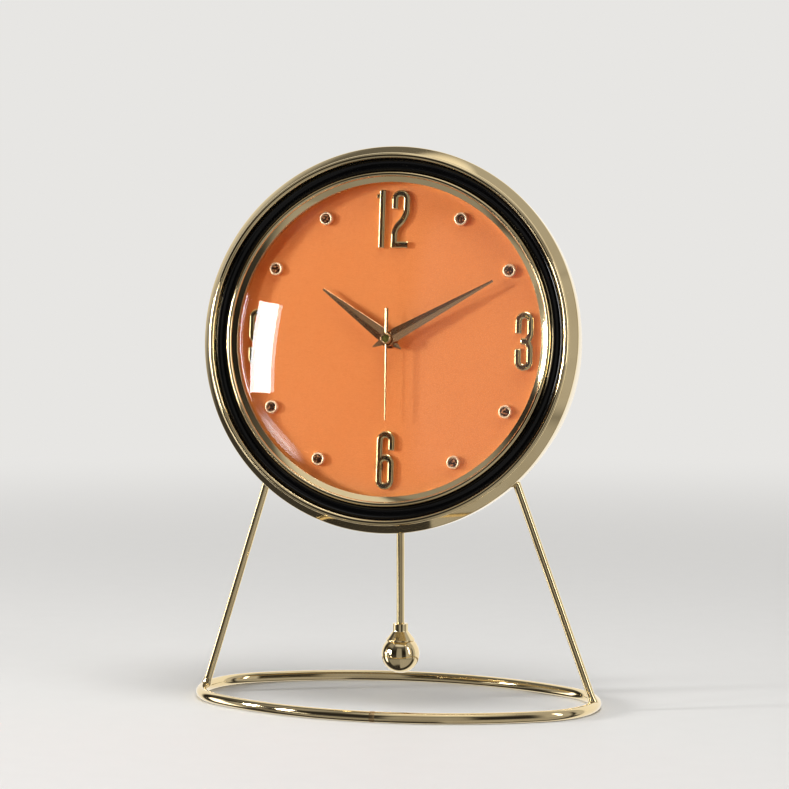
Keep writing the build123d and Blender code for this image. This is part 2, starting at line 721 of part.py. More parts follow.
numeral_6 = looped_numeral((0, -numeral_circle_upright), HEAD.x_dir)
write(numeral_6, "numeral_6")
numeral_9 = looped_numeral((-numeral_circle_side, 0), -HEAD.x_dir)
write(numeral_9, "numeral_9")

# Studs: tapered cups with faceted stones
stud_spots = [on_clock(stud_circle, 30 * hour) for hour in STUD_HOURS]
with BuildPart() as stud_cups:
    with BuildSketch(level(0)):
        with Locations(*stud_spots):
            Circle(STUD_RADIUS)
    extrude(amount=STUD_RAISE, taper=STUD_TAPER)
    with BuildSketch(level(STUD_RAISE)):
        with Locations(*stud_spots):
            Circle(CRYSTAL_RADIUS)
    extrude(amount=-CRYSTAL_SINK, mode=Mode.SUBTRACT)
write(stud_cups, "stud_cups")

with BuildPart() as stud_crystals:
    with BuildSketch(level(STUD_RAISE - CRYSTAL_SINK)):
        with Locations(*stud_spots):
            RegularPolygon(CRYSTAL_RADIUS - RUN_CLEARANCE, CRYSTAL_SIDES)
    extrude(amount=CRYSTAL_SINK)
    with BuildSketch(level(STUD_RAISE)):
        with Locations(*stud_spots):
            RegularPolygon(CRYSTAL_RADIUS - RUN_CLEARANCE, CRYSTAL_SIDES)
    extrude(amount=CRYSTAL_CROWN, taper=45)
write(stud_crystals, "stud_crystals")

# Hands
minute_hand_level = HOUR_HAND_LEVEL + HAND_PITCH
second_hand_level = minute_hand_level + HAND_PITCH


def across(angle, distance, height):
    """A plane square to a hand, at a distance along it, with Y towards the viewer."""
    along = HEAD.x_dir * sin(radians(angle)) + HEAD.y_dir * cos(radians(angle))
    spot = on_clock(distance, angle)
    return Plane(
        origin=HEAD.from_local_coords((spot[0], spot[1], height)),
        x_dir=HEAD.z_dir.cross(along),
        z_dir=along,
    )


def hand(angle, length, height, tube_radius):
    """A ridged kite of a hand, pointed at both ends, with a round hub."""
    with BuildPart() as blade:
        for distance, width, ridge in (
            (-HAND_TAIL, HAND_TAIL_TIP, HAND_RIDGE / 2),
            (HAND_SHOULDER, HAND_WIDTH, HAND_RIDGE),
            (length, HAND_TIP, HAND_RIDGE / 2),
        ):
            with BuildSketch(across(angle, distance, height)):
                Polygon((-width / 2, 0), (width / 2, 0), (0, ridge), align=None)
        loft(ruled=True)
        with BuildSketch(level(height)):
            Circle(HUB_RADIUS)
        extrude(amount=HAND_THICKNESS)
        with BuildSketch(level(height)):
            Circle(tube_radius + PRESS_CLEARANCE)
        extrude(amount=HAND_THICKNESS + HAND_RIDGE, mode=Mode.SUBTRACT)
    return blade


hour_hand = hand(HOUR_ANGLE, HOUR_LENGTH, HOUR_HAND_LEVEL, HOUR_TUBE_RADIUS)
write(hour_hand, "hour_hand")
minute_hand = hand(MINUTE_ANGLE, MINUTE_LENGTH, minute_hand_level, MINUTE_TUBE_RADIUS)
write(minute_hand, "minute_hand")

with BuildPart() as second_hand:
    with BuildSketch(level(second_hand_level)):
        Polygon(
            *[
                polar(on_clock(reach, SECOND_ANGLE), side, -SECOND_ANGLE)
                for reach, side in (
                    (SECOND_LENGTH, -SECOND_WIDTH / 4),
                    (SECOND_LENGTH, SECOND_WIDTH / 4),
                    (0, SECOND_WIDTH / 2),
                    (-SECOND_HUB_RADIUS, SECOND_TAIL_WIDTH / 2),
                    (-SECOND_TAIL, SECOND_TAIL_WIDTH / 2),
                    (-SECOND_TAIL, -SECOND_TAIL_WIDTH / 2),
                    (-SECOND_HUB_RADIUS, -SECOND_TAIL_WIDTH / 2),
                    (0, -SECOND_WIDTH / 2),
                )
            ],
            align=None,
        )
    extrude(amount=HAND_THICKNESS)
    with BuildSketch(level(second_hand_level)):
        Circle(SECOND_HUB_RADIUS)
    extrude(amount=SECOND_HUB_HEIGHT, taper=STUD_TAPER)
    with BuildSketch(level(second_hand_level + SECOND_HUB_HEIGHT)):
        Circle(SECOND_HUB_BORE)
    extrude(amount=-SECOND_HUB_DEPTH, mode=Mode.SUBTRACT)
    with BuildSketch(level(second_hand_level)):
        Circle(ARBOR_RADIUS + PRESS_CLEARANCE)
    extrude(amount=HAND_THICKNESS, mode=Mode.SUBTRACT)
write(second_hand, "second_hand")

# Clamp of the movement to the dial
with BuildPart() as dial_washer:
    with BuildSketch(level(0)):
        Circle(DIAL_WASHER_RADIUS)
        Circle(dial_hole, mode=Mode.SUBTRACT)
    extrude(amount=DIAL_WASHER_THICKNESS)
write(dial_washer, "dial_washer")

with BuildPart() as dial_nut:
    with BuildSketch(level(DIAL_WASHER_THICKNESS)):
        RegularPolygon(NUT_ACROSS_FLATS / 2, 6, major_radius=False)
        Circle(BUSH_RADIUS + PRESS_CLEARANCE, mode=Mode.SUBTRACT)
    extrude(amount=NUT_HEIGHT)
write(dial_nut, "dial_nut")

with BuildPart() as cushion_washer:
    with BuildSketch(level(movement_front)):
        Circle(CUSHION_RADIUS)
        Circle(dial_hole, mode=Mode.SUBTRACT)
    extrude(amount=CUSHION_THICKNESS)
write(cushion_washer, "cushion_washer")

# Places of the middle plate and its posts, which stand clear of every wheel
plate_left = third_spot[0] - PLATE_MARGIN
plate_right = rotor_spot[0] + PLATE_MARGIN
plate_low = -PLATE_MARGIN
plate_high = rotor_spot[1] + PLATE_MARGIN
plate_middle = ((plate_left + plate_right) / 2, (plate_low + plate_high) / 2)
post_spots = [
    (plate_left + POST_INSET, plate_low + POST_INSET),
    (plate_left + POST_INSET, plate_high - POST_INSET),
    (plate_right - POST_INSET, plate_high - POST_INSET),
]
arbor_hole = ARBOR_RADIUS + RUN_CLEARANCE
knob_hole = KNOB_SHAFT_RADIUS + RUN_CLEARANCE
movement_middle = (0, (MOVEMENT_TOP + MOVEMENT_BOTTOM) / 2)
movement_height = MOVEMENT_TOP - MOVEMENT_BOTTOM
plate_front = layer(PLATE_LAYER) + WHEEL_THICKNESS
bay_half = BATTERY_RADIUS + BAY_CLEARANCE
rib_spots = [(0, BATTERY_PLACE + side * (bay_half + BAY_RIB / 2)) for side in (1, -1)]

# Front half of the movement: a tray with the threaded bush, posts, pivots and battery ribs
with BuildPart() as movement_shell:
    with BuildSketch(level(cover_inner, movement_middle)):
        RectangleRounded(MOVEMENT_WIDTH, movement_height, MOVEMENT_CORNER)
    extrude(amount=movement_front - cover_inner)
    with BuildSketch(level(cover_inner, movement_middle)):
        RectangleRounded(MOVEMENT_WIDTH - 2 * MOVEMENT_WALL, movement_height - 2 * MOVEMENT_WALL,
                         MOVEMENT_CORNER - MOVEMENT_WALL)
    extrude(amount=shell_floor - cover_inner, mode=Mode.SUBTRACT)
    with BuildSketch(level(movement_front)):
        Circle(BUSH_RADIUS)
    extrude(amount=BUSH_FRONT - movement_front)
    with BuildSketch(level(shell_floor)):
        with Locations(*post_spots):
            Circle(POST_RADIUS)
    extrude(amount=plate_front - shell_floor)
    with BuildSketch(level(shell_floor, motion_spot)):
        Circle(MINUTE_POST_RADIUS)
    extrude(amount=layer(MINUTE_LAYER) - shell_floor)
    with BuildSketch(level(shell_floor)):
        with Locations(*rib_spots):
            Rectangle(MOVEMENT_WIDTH - 2 * MOVEMENT_WALL, BAY_RIB)
    extrude(amount=cover_inner - shell_floor)
    with BuildSketch(level(shell_floor)):
        Circle(HOUR_TUBE_RADIUS + RUN_CLEARANCE)
    extrude(amount=BUSH_FRONT - shell_floor, mode=Mode.SUBTRACT)
    with BuildSketch(level(shell_floor)):
        with Locations(third_spot):
            Circle(arbor_hole)
        with Locations(set_spot):
            Circle(knob_hole)
    extrude(amount=PIVOT_DEPTH, mode=Mode.SUBTRACT)
write(movement_shell, "movement_shell")

# Rear half of the movement: pivots, battery opening and the boss of the pendulum's pin
with BuildPart() as movement_cover:
    with BuildSketch(level(cover_outer, movement_middle)):
        RectangleRounded(MOVEMENT_WIDTH, movement_height, MOVEMENT_CORNER)
    extrude(amount=MOVEMENT_WALL)
    with BuildSketch(level(cover_outer, (0, PIVOT_PLACE))):
        Circle(PIVOT_BOSS_RADIUS)
    extrude(amount=-PIVOT_BOSS_HEIGHT)
    with BuildSketch(level(cover_outer)):
        with Locations((0, BATTERY_PLACE)):
            RectangleRounded(MOVEMENT_WIDTH - 3 * MOVEMENT_WALL, 2 * bay_half, 1)
        with Locations(set_spot):
            Circle(knob_hole)
    extrude(amount=MOVEMENT_WALL, mode=Mode.SUBTRACT)
    with BuildSketch(level(cover_inner)):
        with Locations(centre, third_spot, fifth_spot, rotor_spot):
            Circle(arbor_hole)
    extrude(amount=-PIVOT_DEPTH, mode=Mode.SUBTRACT)
    with BuildSketch(level(cover_outer - PIVOT_BOSS_HEIGHT, (0, PIVOT_PLACE))):
        Circle(PIVOT_PIN_RADIUS)
    extrude(amount=PIVOT_BOSS_HEIGHT + MOVEMENT_WALL / 2, mode=Mode.SUBTRACT)
write(movement_cover, "movement_cover")

# Middle plate between the motion work and the going train
third_pinion_tip = centre_module * (THIRD_PINION_TEETH / 2 + TOOTH_ADDENDUM)
with BuildPart() as middle_plate:
    with BuildSketch(level(layer(PLATE_LAYER))):
        with Locations(plate_middle):
            RectangleRounded(plate_right - plate_left, plate_high - plate_low, PLATE_CORNER)
        with Locations(centre, fifth_spot, rotor_spot):
            Circle(arbor_hole, mode=Mode.SUBTRACT)
        with Locations(third_spot):
            Circle(third_pinion_tip + THIRD_HOLE_CLEARANCE, mode=Mode.SUBTRACT)
        with Locations(set_spot):
            Circle(KNOB_SHAFT_RADIUS + SHAFT_HOLE_CLEARANCE, mode=Mode.SUBTRACT)
    extrude(amount=WHEEL_THICKNESS)
write(middle_plate, "middle_plate")


def wheel_set(spot, low, high, toothed, bore=None, tube=ARBOR_RADIUS):
    """Toothed wheels on one arbor or tube.

    Each toothed entry gives the layer, the teeth, the module, the phase and the overhang.
    """
    with BuildPart() as wheels:
        with BuildSketch(level(low, spot)):
            Circle(tube)
        extrude(amount=high - low)
        for index, teeth, module, phase, overhang in toothed:
            with BuildSketch(level(layer(index) - overhang, spot)):
                with BuildLine():
                    Polyline(*tooth_points(teeth, module, phase), close=True)
                make_face()
            extrude(amount=WHEEL_THICKNESS + 2 * overhang)
        if bore is not None:
            with BuildSketch(level(low, spot)):
                Circle(bore)
            extrude(amount=high - low, mode=Mode.SUBTRACT)
    return wheels


# Going train, from the rotor to the wheel that carries the minute hand
second_arbor = wheel_set(
    centre, rear_pivot, second_hand_level + HAND_THICKNESS,
    [
        (THIRD_LAYER, SECOND_PINION_TEETH, third_module, THIRD_DIRECTION, PINION_OVERHANG),
        (SECOND_LAYER, SECOND_WHEEL_TEETH, second_module, FIFTH_DIRECTION, 0),
    ],
)
write(second_arbor, "second_arbor")

third_wheel = wheel_set(
    third_spot, rear_pivot, front_pivot,
    [
        (THIRD_LAYER, THIRD_WHEEL_TEETH, third_module,
         mesh_phase(THIRD_DIRECTION, SECOND_PINION_TEETH, THIRD_WHEEL_TEETH, THIRD_DIRECTION), 0),
        (CENTRE_LAYER, THIRD_PINION_TEETH, centre_module, THIRD_DIRECTION + 180, PINION_OVERHANG),
    ],
)
write(third_wheel, "third_wheel")

centre_wheel = wheel_set(
    centre, layer(CENTRE_LAYER) - PINION_OVERHANG, layer(CENTRE_LAYER) + WHEEL_THICKNESS + PINION_OVERHANG,
    [
        (CENTRE_LAYER, CENTRE_WHEEL_TEETH, centre_module,
         mesh_phase(THIRD_DIRECTION + 180, THIRD_PINION_TEETH, CENTRE_WHEEL_TEETH, THIRD_DIRECTION + 180), 0),
    ],
    bore=MINUTE_TUBE_RADIUS + RUN_CLEARANCE,
    tube=MINUTE_TUBE_RADIUS + WHEEL_HUB_RADIUS,
)
write(centre_wheel, "centre_wheel")

fifth_phase = mesh_phase(FIFTH_DIRECTION, SECOND_WHEEL_TEETH, FIFTH_PINION_TEETH, FIFTH_DIRECTION)
fifth_wheel = wheel_set(
    fifth_spot, rear_pivot, layer(PLATE_LAYER) + WHEEL_THICKNESS,
    [
        (SECOND_LAYER, FIFTH_PINION_TEETH, second_module, fifth_phase, PINION_OVERHANG),
        (FIFTH_LAYER, FIFTH_WHEEL_TEETH, fifth_module, ROTOR_DIRECTION, 0),
    ],
)
write(fifth_wheel, "fifth_wheel")

rotor_rear = layer(PLATE_LAYER) - LAYER_GAP / 2 - ROTOR_HEIGHT
with BuildPart() as rotor:
    with BuildSketch(level(rear_pivot, rotor_spot)):
        Circle(ARBOR_RADIUS)
    extrude(amount=layer(PLATE_LAYER) + WHEEL_THICKNESS - rear_pivot)
    with BuildSketch(level(layer(FIFTH_LAYER) - PINION_OVERHANG, rotor_spot)):
        with BuildLine():
            Polyline(
                *tooth_points(
                    ROTOR_PINION_TEETH,
                    fifth_module,
                    mesh_phase(ROTOR_DIRECTION, FIFTH_WHEEL_TEETH, ROTOR_PINION_TEETH, ROTOR_DIRECTION),
                ),
                close=True,
            )
        make_face()
    extrude(amount=WHEEL_THICKNESS + 2 * PINION_OVERHANG)
    with BuildSketch(level(rotor_rear, rotor_spot)):
        Circle(ROTOR_RADIUS)
    extrude(amount=ROTOR_HEIGHT)
write(rotor, "rotor")

# Motion work: the minute tube with its pinion, the minute wheel on its post and the hour wheel
minute_rear = layer(CENTRE_LAYER) - PINION_OVERHANG
minute_arbor = wheel_set(
    centre, minute_rear, minute_hand_level + HAND_THICKNESS,
    [(MINUTE_LAYER, CANNON_TEETH, minute_module, MOTION_DIRECTION, PINION_OVERHANG)],
    bore=arbor_hole,
    tube=MINUTE_TUBE_RADIUS,
)
write(minute_arbor, "minute_arbor")

minute_phase = mesh_phase(MOTION_DIRECTION, CANNON_TEETH, MINUTE_WHEEL_TEETH, MOTION_DIRECTION)
minute_wheel = wheel_set(
    motion_spot, layer(MINUTE_LAYER), layer(HOUR_LAYER) + WHEEL_THICKNESS + PINION_OVERHANG,
    [
        (MINUTE_LAYER, MINUTE_WHEEL_TEETH, minute_module, minute_phase, 0),
        (HOUR_LAYER, MINUTE_PINION_TEETH, hour_module, MOTION_DIRECTION + 180, PINION_OVERHANG),
    ],
    bore=MINUTE_POST_RADIUS + RUN_CLEARANCE,
    tube=MINUTE_POST_RADIUS + RUN_CLEARANCE + LAYER_GAP / 2,
)
write(minute_wheel, "minute_wheel")

to_centre = MOTION_DIRECTION + 180
hour_phase = mesh_phase(to_centre, MINUTE_PINION_TEETH, HOUR_WHEEL_TEETH, to_centre)
hour_wheel = wheel_set(
    centre, layer(HOUR_LAYER), HOUR_HAND_LEVEL + HAND_THICKNESS,
    [(HOUR_LAYER, HOUR_WHEEL_TEETH, hour_module, hour_phase, 0)],
    bore=MINUTE_TUBE_RADIUS + RUN_CLEARANCE,
    tube=HOUR_TUBE_RADIUS,
)
write(hour_wheel, "hour_wheel")

# Setting knob: a pinion on the minute wheel and a fluted knob behind the movement
knob_front = cover_outer - KNOB_GAP
with BuildPart() as set_knob:
    with BuildSketch(level(knob_front, set_spot)):
        Circle(KNOB_SHAFT_RADIUS)
    extrude(amount=front_pivot - knob_front)
    with BuildSketch(level(layer(MINUTE_LAYER) - PINION_OVERHANG, set_spot)):
        with BuildLine():
            Polyline(
                *tooth_points(
                    SET_PINION_TEETH,
                    minute_module,
                    mesh_phase(minute_phase, MINUTE_WHEEL_TEETH, SET_PINION_TEETH, SET_DIRECTION),
                ),
                close=True,
            )
        make_face()
    extrude(amount=WHEEL_THICKNESS + 2 * PINION_OVERHANG)
    with BuildSketch(level(knob_front, set_spot)):
        Circle(KNOB_RADIUS)
        with PolarLocations(KNOB_RADIUS, KNOB_FLUTES):
            Circle(KNOB_FLUTE_RADIUS, mode=Mode.SUBTRACT)
    extrude(amount=-KNOB_HEIGHT)
write(set_knob, "set_knob")

# Stepping motor: a closed stator round the rotor, with its coil on the top bar
stator_front = layer(PLATE_LAYER)
stator_left = rotor_spot[0] - ROTOR_RADIUS - ROTOR_GAP - STATOR_ARM / 4
stator_low = rotor_spot[1] - STATOR_FOOT / 2
stator_middle = (stator_left + STATOR_WIDTH / 2, stator_low + STATOR_HEIGHT / 2)
stator_window = STATOR_HEIGHT - STATOR_FOOT - STATOR_ARM
bar_place = (stator_middle[0], stator_low + STATOR_HEIGHT - STATOR_ARM / 2)
with BuildPart() as stator:
    with BuildSketch(level(stator_front)):
        with Locations(stator_middle):
            Rectangle(STATOR_WIDTH, STATOR_HEIGHT)
        with Locations((stator_middle[0], stator_low + STATOR_FOOT + stator_window / 2)):
            Rectangle(STATOR_WIDTH - 2 * STATOR_ARM, stator_window, mode=Mode.SUBTRACT)
        with Locations(rotor_spot):
            Circle(ROTOR_RADIUS + ROTOR_GAP, mode=Mode.SUBTRACT)
    extrude(amount=-STATOR_THICKNESS)
write(stator, "stator")

coil_plane = Plane(
    origin=HEAD.from_local_coords((bar_place[0], bar_place[1], stator_front - STATOR_THICKNESS / 2)),
    x_dir=HEAD.y_dir,
    z_dir=HEAD.x_dir,
)
with BuildPart() as motor_coil:
    with BuildSketch(coil_plane):
        RectangleRounded(COIL_SIDE, COIL_SIDE, COIL_SIDE / 5)
        Rectangle(STATOR_ARM + 2 * COIL_CLEARANCE, STATOR_THICKNESS + 2 * COIL_CLEARANCE, mode=Mode.SUBTRACT)
    extrude(amount=(STATOR_WIDTH - 2 * STATOR_ARM) / 2 - COIL_CLEARANCE, both=True)
write(motor_coil, "motor_coil")

circuit_spot = (
    -MOVEMENT_WIDTH / 2 + MOVEMENT_WALL + CIRCUIT_MARGIN + CIRCUIT_LENGTH / 2,
    MOVEMENT_TOP - MOVEMENT_WALL - CIRCUIT_MARGIN - CIRCUIT_WIDTH / 2,
)
with BuildPart() as circuit_board:
    with BuildSketch(level(cover_inner, circuit_spot)):
        RectangleRounded(CIRCUIT_LENGTH, CIRCUIT_WIDTH, 1)
    extrude(amount=CIRCUIT_THICKNESS)
write(circuit_board, "circuit_board")

# Battery across the movement, between two contacts
battery_level = shell_floor - BATTERY_RADIUS - RUN_CLEARANCE
bay_end = MOVEMENT_WIDTH / 2 - MOVEMENT_WALL


def facing_x(reach):
    """A plane across the battery, at a reach to the right of its middle."""
    return Plane(
        origin=HEAD.from_local_coords((reach, BATTERY_PLACE, battery_level)),
        x_dir=HEAD.y_dir,
        z_dir=HEAD.x_dir,
    )


with BuildPart() as battery:
    with BuildSketch(facing_x(-BATTERY_LENGTH / 2)):
        Circle(BATTERY_RADIUS)
    extrude(amount=BATTERY_LENGTH - BATTERY_NUB)
    with BuildSketch(facing_x(BATTERY_LENGTH / 2 - BATTERY_NUB)):
        Circle(BATTERY_NUB_RADIUS)
    extrude(amount=BATTERY_NUB)
write(battery, "battery")

dimple = bay_end - BATTERY_LENGTH / 2 - CONTACT_THICKNESS - CONTACT_CLEARANCE
with BuildPart() as battery_contacts:
    for side in (1, -1):
        with BuildSketch(facing_x(side * bay_end)):
            Rectangle(CONTACT_SIZE, CONTACT_SIZE)
        extrude(amount=-side * CONTACT_THICKNESS)
        with BuildSketch(facing_x(side * (bay_end - CONTACT_THICKNESS))):
            Circle(CONTACT_DIMPLE_RADIUS)
        extrude(amount=-side * dimple)
write(battery_contacts, "battery_contacts")

# Pendulum drive: a coil inside the cover, and a lever with a magnet on a pin behind it
with BuildPart() as drive_coil:
    with BuildSketch(level(cover_inner, (0, MAGNET_PLACE))):
        Circle(DRIVE_COIL_RADIUS)
        Circle(DRIVE_COIL_BORE, mode=Mode.SUBTRACT)
    extrude(amount=DRIVE_COIL_HEIGHT)
write(drive_coil, "drive_coil")

pin_head = lever_rear - LEVER_GAP
with BuildPart() as pivot_pin:
    with BuildSketch(level(pin_head, (0, PIVOT_PLACE))):
        Circle(PIVOT_PIN_RADIUS)
    extrude(amount=cover_outer + MOVEMENT_WALL / 2 - pin_head)
    with BuildSketch(level(pin_head, (0, PIVOT_PLACE))):
        Circle(PIVOT_PIN_HEAD)
    extrude(amount=-PIVOT_PIN_HEAD_HEIGHT)
write(pivot_pin, "pivot_pin")

with BuildPart() as pendulum_lever:
    with BuildSketch(level(lever_rear)):
        with Locations((0, PIVOT_PLACE)):
            Circle(LEVER_EYE_RADIUS)
        with Locations((0, MAGNET_PLACE)):
            Circle(LEVER_PAD_RADIUS)
        with Locations((0, HOOK_PLACE)):
            Circle(LEVER_TIP_RADIUS)
        with Locations((0, (PIVOT_PLACE + HOOK_PLACE) / 2)):
            Rectangle(LEVER_ARM_WIDTH, PIVOT_PLACE - HOOK_PLACE)
        with Locations((0, PIVOT_PLACE)):
            Circle(PIVOT_PIN_RADIUS + RUN_CLEARANCE, mode=Mode.SUBTRACT)
    extrude(amount=LEVER_THICKNESS)
    with BuildSketch(level(lever_front, (0, MAGNET_PLACE))):
        Circle(MAGNET_RADIUS + PRESS_CLEARANCE)
    extrude(amount=-MAGNET_THICKNESS, mode=Mode.SUBTRACT)
    with BuildSketch(level(lever_rear, (0, HOOK_PLACE))):
        Circle(HOOK_RADIUS)
    extrude(amount=-HOOK_LENGTH)
    with BuildSketch(level(hook_rear, (0, HOOK_PLACE))):
        Circle(HOOK_HEAD_RADIUS)
    extrude(amount=-HOOK_HEAD_HEIGHT)
write(pendulum_lever, "pendulum_lever")

with BuildPart() as lever_magnet:
    with BuildSketch(level(lever_front, (0, MAGNET_PLACE))):
        Circle(MAGNET_RADIUS)
    extrude(amount=-MAGNET_THICKNESS)
write(lever_magnet, "lever_magnet")

# Pendulum: a plumb rod on the lever's hook, with a capped ball
eye_height = hook_point.Z - EYE_BORE + HOOK_RADIUS + EYE_SLACK
rod_low = BALL_HEIGHT + BALL_RADIUS - BALL_BORE_DEPTH
eye_plane = Plane(origin=(0, rod_y, eye_height), x_dir=(1, 0, 0), z_dir=(0, -1, 0))
PLUMB = Axis((0, rod_y, 0), (0, 0, 1))
BOB_PROFILE = Plane(origin=(0, rod_y, BALL_HEIGHT), x_dir=(1, 0, 0), z_dir=(0, -1, 0))

with BuildPart() as pendulum_rod:
    with BuildSketch(Plane(origin=(0, rod_y, rod_low))):
        Circle(ROD_RADIUS)
    extrude(amount=eye_height - (EYE_RADIUS + EYE_BORE) / 2 - rod_low)
    with BuildSketch(eye_plane):
        Circle(EYE_RADIUS)
        Circle(EYE_BORE, mode=Mode.SUBTRACT)
    extrude(amount=EYE_THICKNESS / 2, both=True)
write(pendulum_rod, "pendulum_rod")

rod_bore = ROD_RADIUS + PRESS_CLEARANCE
with BuildPart() as bob_ball:
    with BuildSketch(BOB_PROFILE):
        with BuildLine():
            CenterArc((0, 0), BALL_RADIUS, -90, 180)
            Line((0, BALL_RADIUS), (0, -BALL_RADIUS))
        make_face()
    revolve(axis=PLUMB)
    with BuildSketch(Plane(origin=(0, rod_y, rod_low))):
        Circle(rod_bore)
    extrude(amount=BALL_BORE_DEPTH, mode=Mode.SUBTRACT)
write(bob_ball, "bob_ball")

collar_low = CAP_TOP - CAP_COLLAR_HEIGHT
ball_at_skirt = sqrt(BALL_RADIUS**2 - CAP_SKIRT_PLACE**2)
ball_at_bore = sqrt(BALL_RADIUS**2 - rod_bore**2)
ball_mid = (ball_at_skirt + rod_bore) / 2
with BuildPart() as bob_cap:
    with BuildSketch(BOB_PROFILE):
        with BuildLine():
            Polyline(
                (rod_bore, ball_at_bore),
                (rod_bore, CAP_TOP),
                (CAP_COLLAR_RADIUS, CAP_TOP),
                (CAP_COLLAR_RADIUS, collar_low),
                (CAP_SKIRT_RADIUS, CAP_SKIRT_PLACE + CAP_STEP),
                (CAP_SKIRT_RADIUS, CAP_SKIRT_PLACE),
                (ball_at_skirt, CAP_SKIRT_PLACE),
            )
            ThreePointArc(
                (ball_at_skirt, CAP_SKIRT_PLACE),
                (ball_mid, sqrt(BALL_RADIUS**2 - ball_mid**2)),
                (rod_bore, ball_at_bore),
            )
        make_face()
    revolve(axis=PLUMB)
write(bob_cap, "bob_cap")
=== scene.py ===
import logging
from collections.abc import Iterable, Sequence
from dataclasses import dataclass
from enum import Enum
from functools import cache
from math import asin, atan2, cos, degrees, hypot, pi, radians, sin, tan, tau

import bmesh
import bpy
from mathutils import Matrix, Vector


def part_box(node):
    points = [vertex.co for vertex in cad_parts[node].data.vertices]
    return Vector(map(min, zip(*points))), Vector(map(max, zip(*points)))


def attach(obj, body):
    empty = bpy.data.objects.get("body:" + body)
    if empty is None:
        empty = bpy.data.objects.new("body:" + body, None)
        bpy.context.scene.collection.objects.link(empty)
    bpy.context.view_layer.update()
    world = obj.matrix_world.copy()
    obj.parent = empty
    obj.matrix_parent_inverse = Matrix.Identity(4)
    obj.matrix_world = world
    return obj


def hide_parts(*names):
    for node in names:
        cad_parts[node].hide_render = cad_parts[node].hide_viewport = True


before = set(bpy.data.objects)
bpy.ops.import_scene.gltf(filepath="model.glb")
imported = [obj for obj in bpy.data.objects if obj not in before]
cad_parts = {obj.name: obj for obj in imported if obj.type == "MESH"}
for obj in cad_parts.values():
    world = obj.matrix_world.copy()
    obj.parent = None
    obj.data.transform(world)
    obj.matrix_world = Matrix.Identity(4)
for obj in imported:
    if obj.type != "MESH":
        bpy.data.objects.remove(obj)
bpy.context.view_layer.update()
log = logging.getLogger("desk_clock")

# Units and types

MM = 0.001
SCALE = Matrix.Scale(MM, 4)
Point = tuple[float, float]
Corner = tuple[float, float, float]
Profile = tuple[Corner, ...]
Colour = tuple[float, float, float, float]
Mesh = tuple[list, list]
Node, NodeTree, Socket = bpy.types.Node, bpy.types.NodeTree, bpy.types.NodeSocket
Sockets = bpy.types.bpy_prop_collection


class Slot(Enum):
    """The record's material slots, which the rings hold but no piece is given."""

    GOLD = "gold"
    BRONZE = "bronze"
    LACQUER = "black_lacquer"
    GLASS = "clear_glass"
    STONE = "smoky_stone"


class Body(Enum):
    """The rigid bodies that new pieces ride on."""

    CASE = "case"
    MINUTE = "minute_work"
    HOUR = "hour_work"
    SECOND = "second_work"
    PENDULUM = "pendulum"


# Shader trees

def srgb(*values: int) -> Colour:
    """A linear colour from red, green and blue in display values of 0 to 255."""
    shares = (v / 255 for v in values)
    return (*(v / 12.92 if v <= 0.04045 else ((v + 0.055) / 1.055) ** 2.4 for v in shares), 1.0)


WHITE: Colour = (1.0, 1.0, 1.0, 1.0)
DUST = srgb(190, 184, 174)


class Tree:
    """A thin wrapper that adds and links nodes in one shader tree."""

    def __init__(self, tree: NodeTree) -> None:
        """Wrap a tree and clear it."""
        self.tree = tree
        tree.nodes.clear()

    def add(self, kind: str, inputs: dict | None = None, **settings: object) -> Node:
        """Add a node.

        Args:
            kind: The node's type name, without the ShaderNode prefix.
            inputs: Values or output sockets for the node's inputs, by name or number.
            **settings: Attributes to set on the node.

        Returns:
            The new node.
        """
        node = self.tree.nodes.new(kind if kind.startswith("Node") else "ShaderNode" + kind)
        for key, value in settings.items():
            setattr(node, key, value)
        for key, value in (inputs or {}).items():
            if isinstance(value, Socket):
                self.tree.links.new(value, node.inputs[key])
            else:
                node.inputs[key].default_value = value
        return node

    def math(self, operation: str, first: object, second: object = 0.0, clamp: bool = False) -> Socket:
        """The result of a math node, held between 0 and 1 when clamped."""
        return self.add("Math", {0: first, 1: second}, operation=operation, use_clamp=clamp).outputs[0]

    def times(self, first: Socket, second: object) -> Socket:
        """The product of two values."""
        return self.math("MULTIPLY", first, second)

    def blend(self, factor: Socket, first: object, second: object) -> Socket:
        """Two colours mixed, by the second one's share."""
        return self.add("Mix", {0: factor, 6: first, 7: second}, data_type="RGBA").outputs[2]

    def mix(self, factor: Socket, first: Socket, second: Socket) -> Socket:
        """Two shaders mixed, by the second one's share."""
        return self.add("MixShader", {0: factor, 1: first, 2: second}).outputs[0]

    def ramp(self, value: Socket, low: float, high: float) -> Socket:
        """A value stretched smoothly, so that low gives 0 and high gives 1."""
        return self.add("MapRange", {0: value, 1: low, 2: high}, interpolation_type="SMOOTHSTEP").outputs[0]

    def spot(self) -> Socket:
        """The place on a piece, in the piece's own frame."""
        return self.add("TexCoord").outputs["Object"]

    def noise(self, spot: Socket, scale: object, detail: float) -> Socket:
        """A noise value at a place."""
        return self.add("TexNoise", {"Vector": spot, "Scale": scale, "Detail": detail}).outputs[0]

    def group(self, shared: NodeTree, **values: object) -> Sockets:
        """The outputs of a shared group that is given these values."""
        return self.add("Group", values, node_tree=shared).outputs

    def bump(self, height: Socket, strength: float, depth: float) -> Socket:
        """A normal from a height of 0 to 1, with its depth in millimetres."""
        return self.add("Bump", {"Height": height, "Strength": strength, "Distance": depth * MM}).outputs[0]

    def principled(self, **inputs: object) -> Socket:
        """A Principled shader, with its inputs' names written with underscores."""
        return self.add("BsdfPrincipled", {k.replace("_", " "): v for k, v in inputs.items()}).outputs[0]


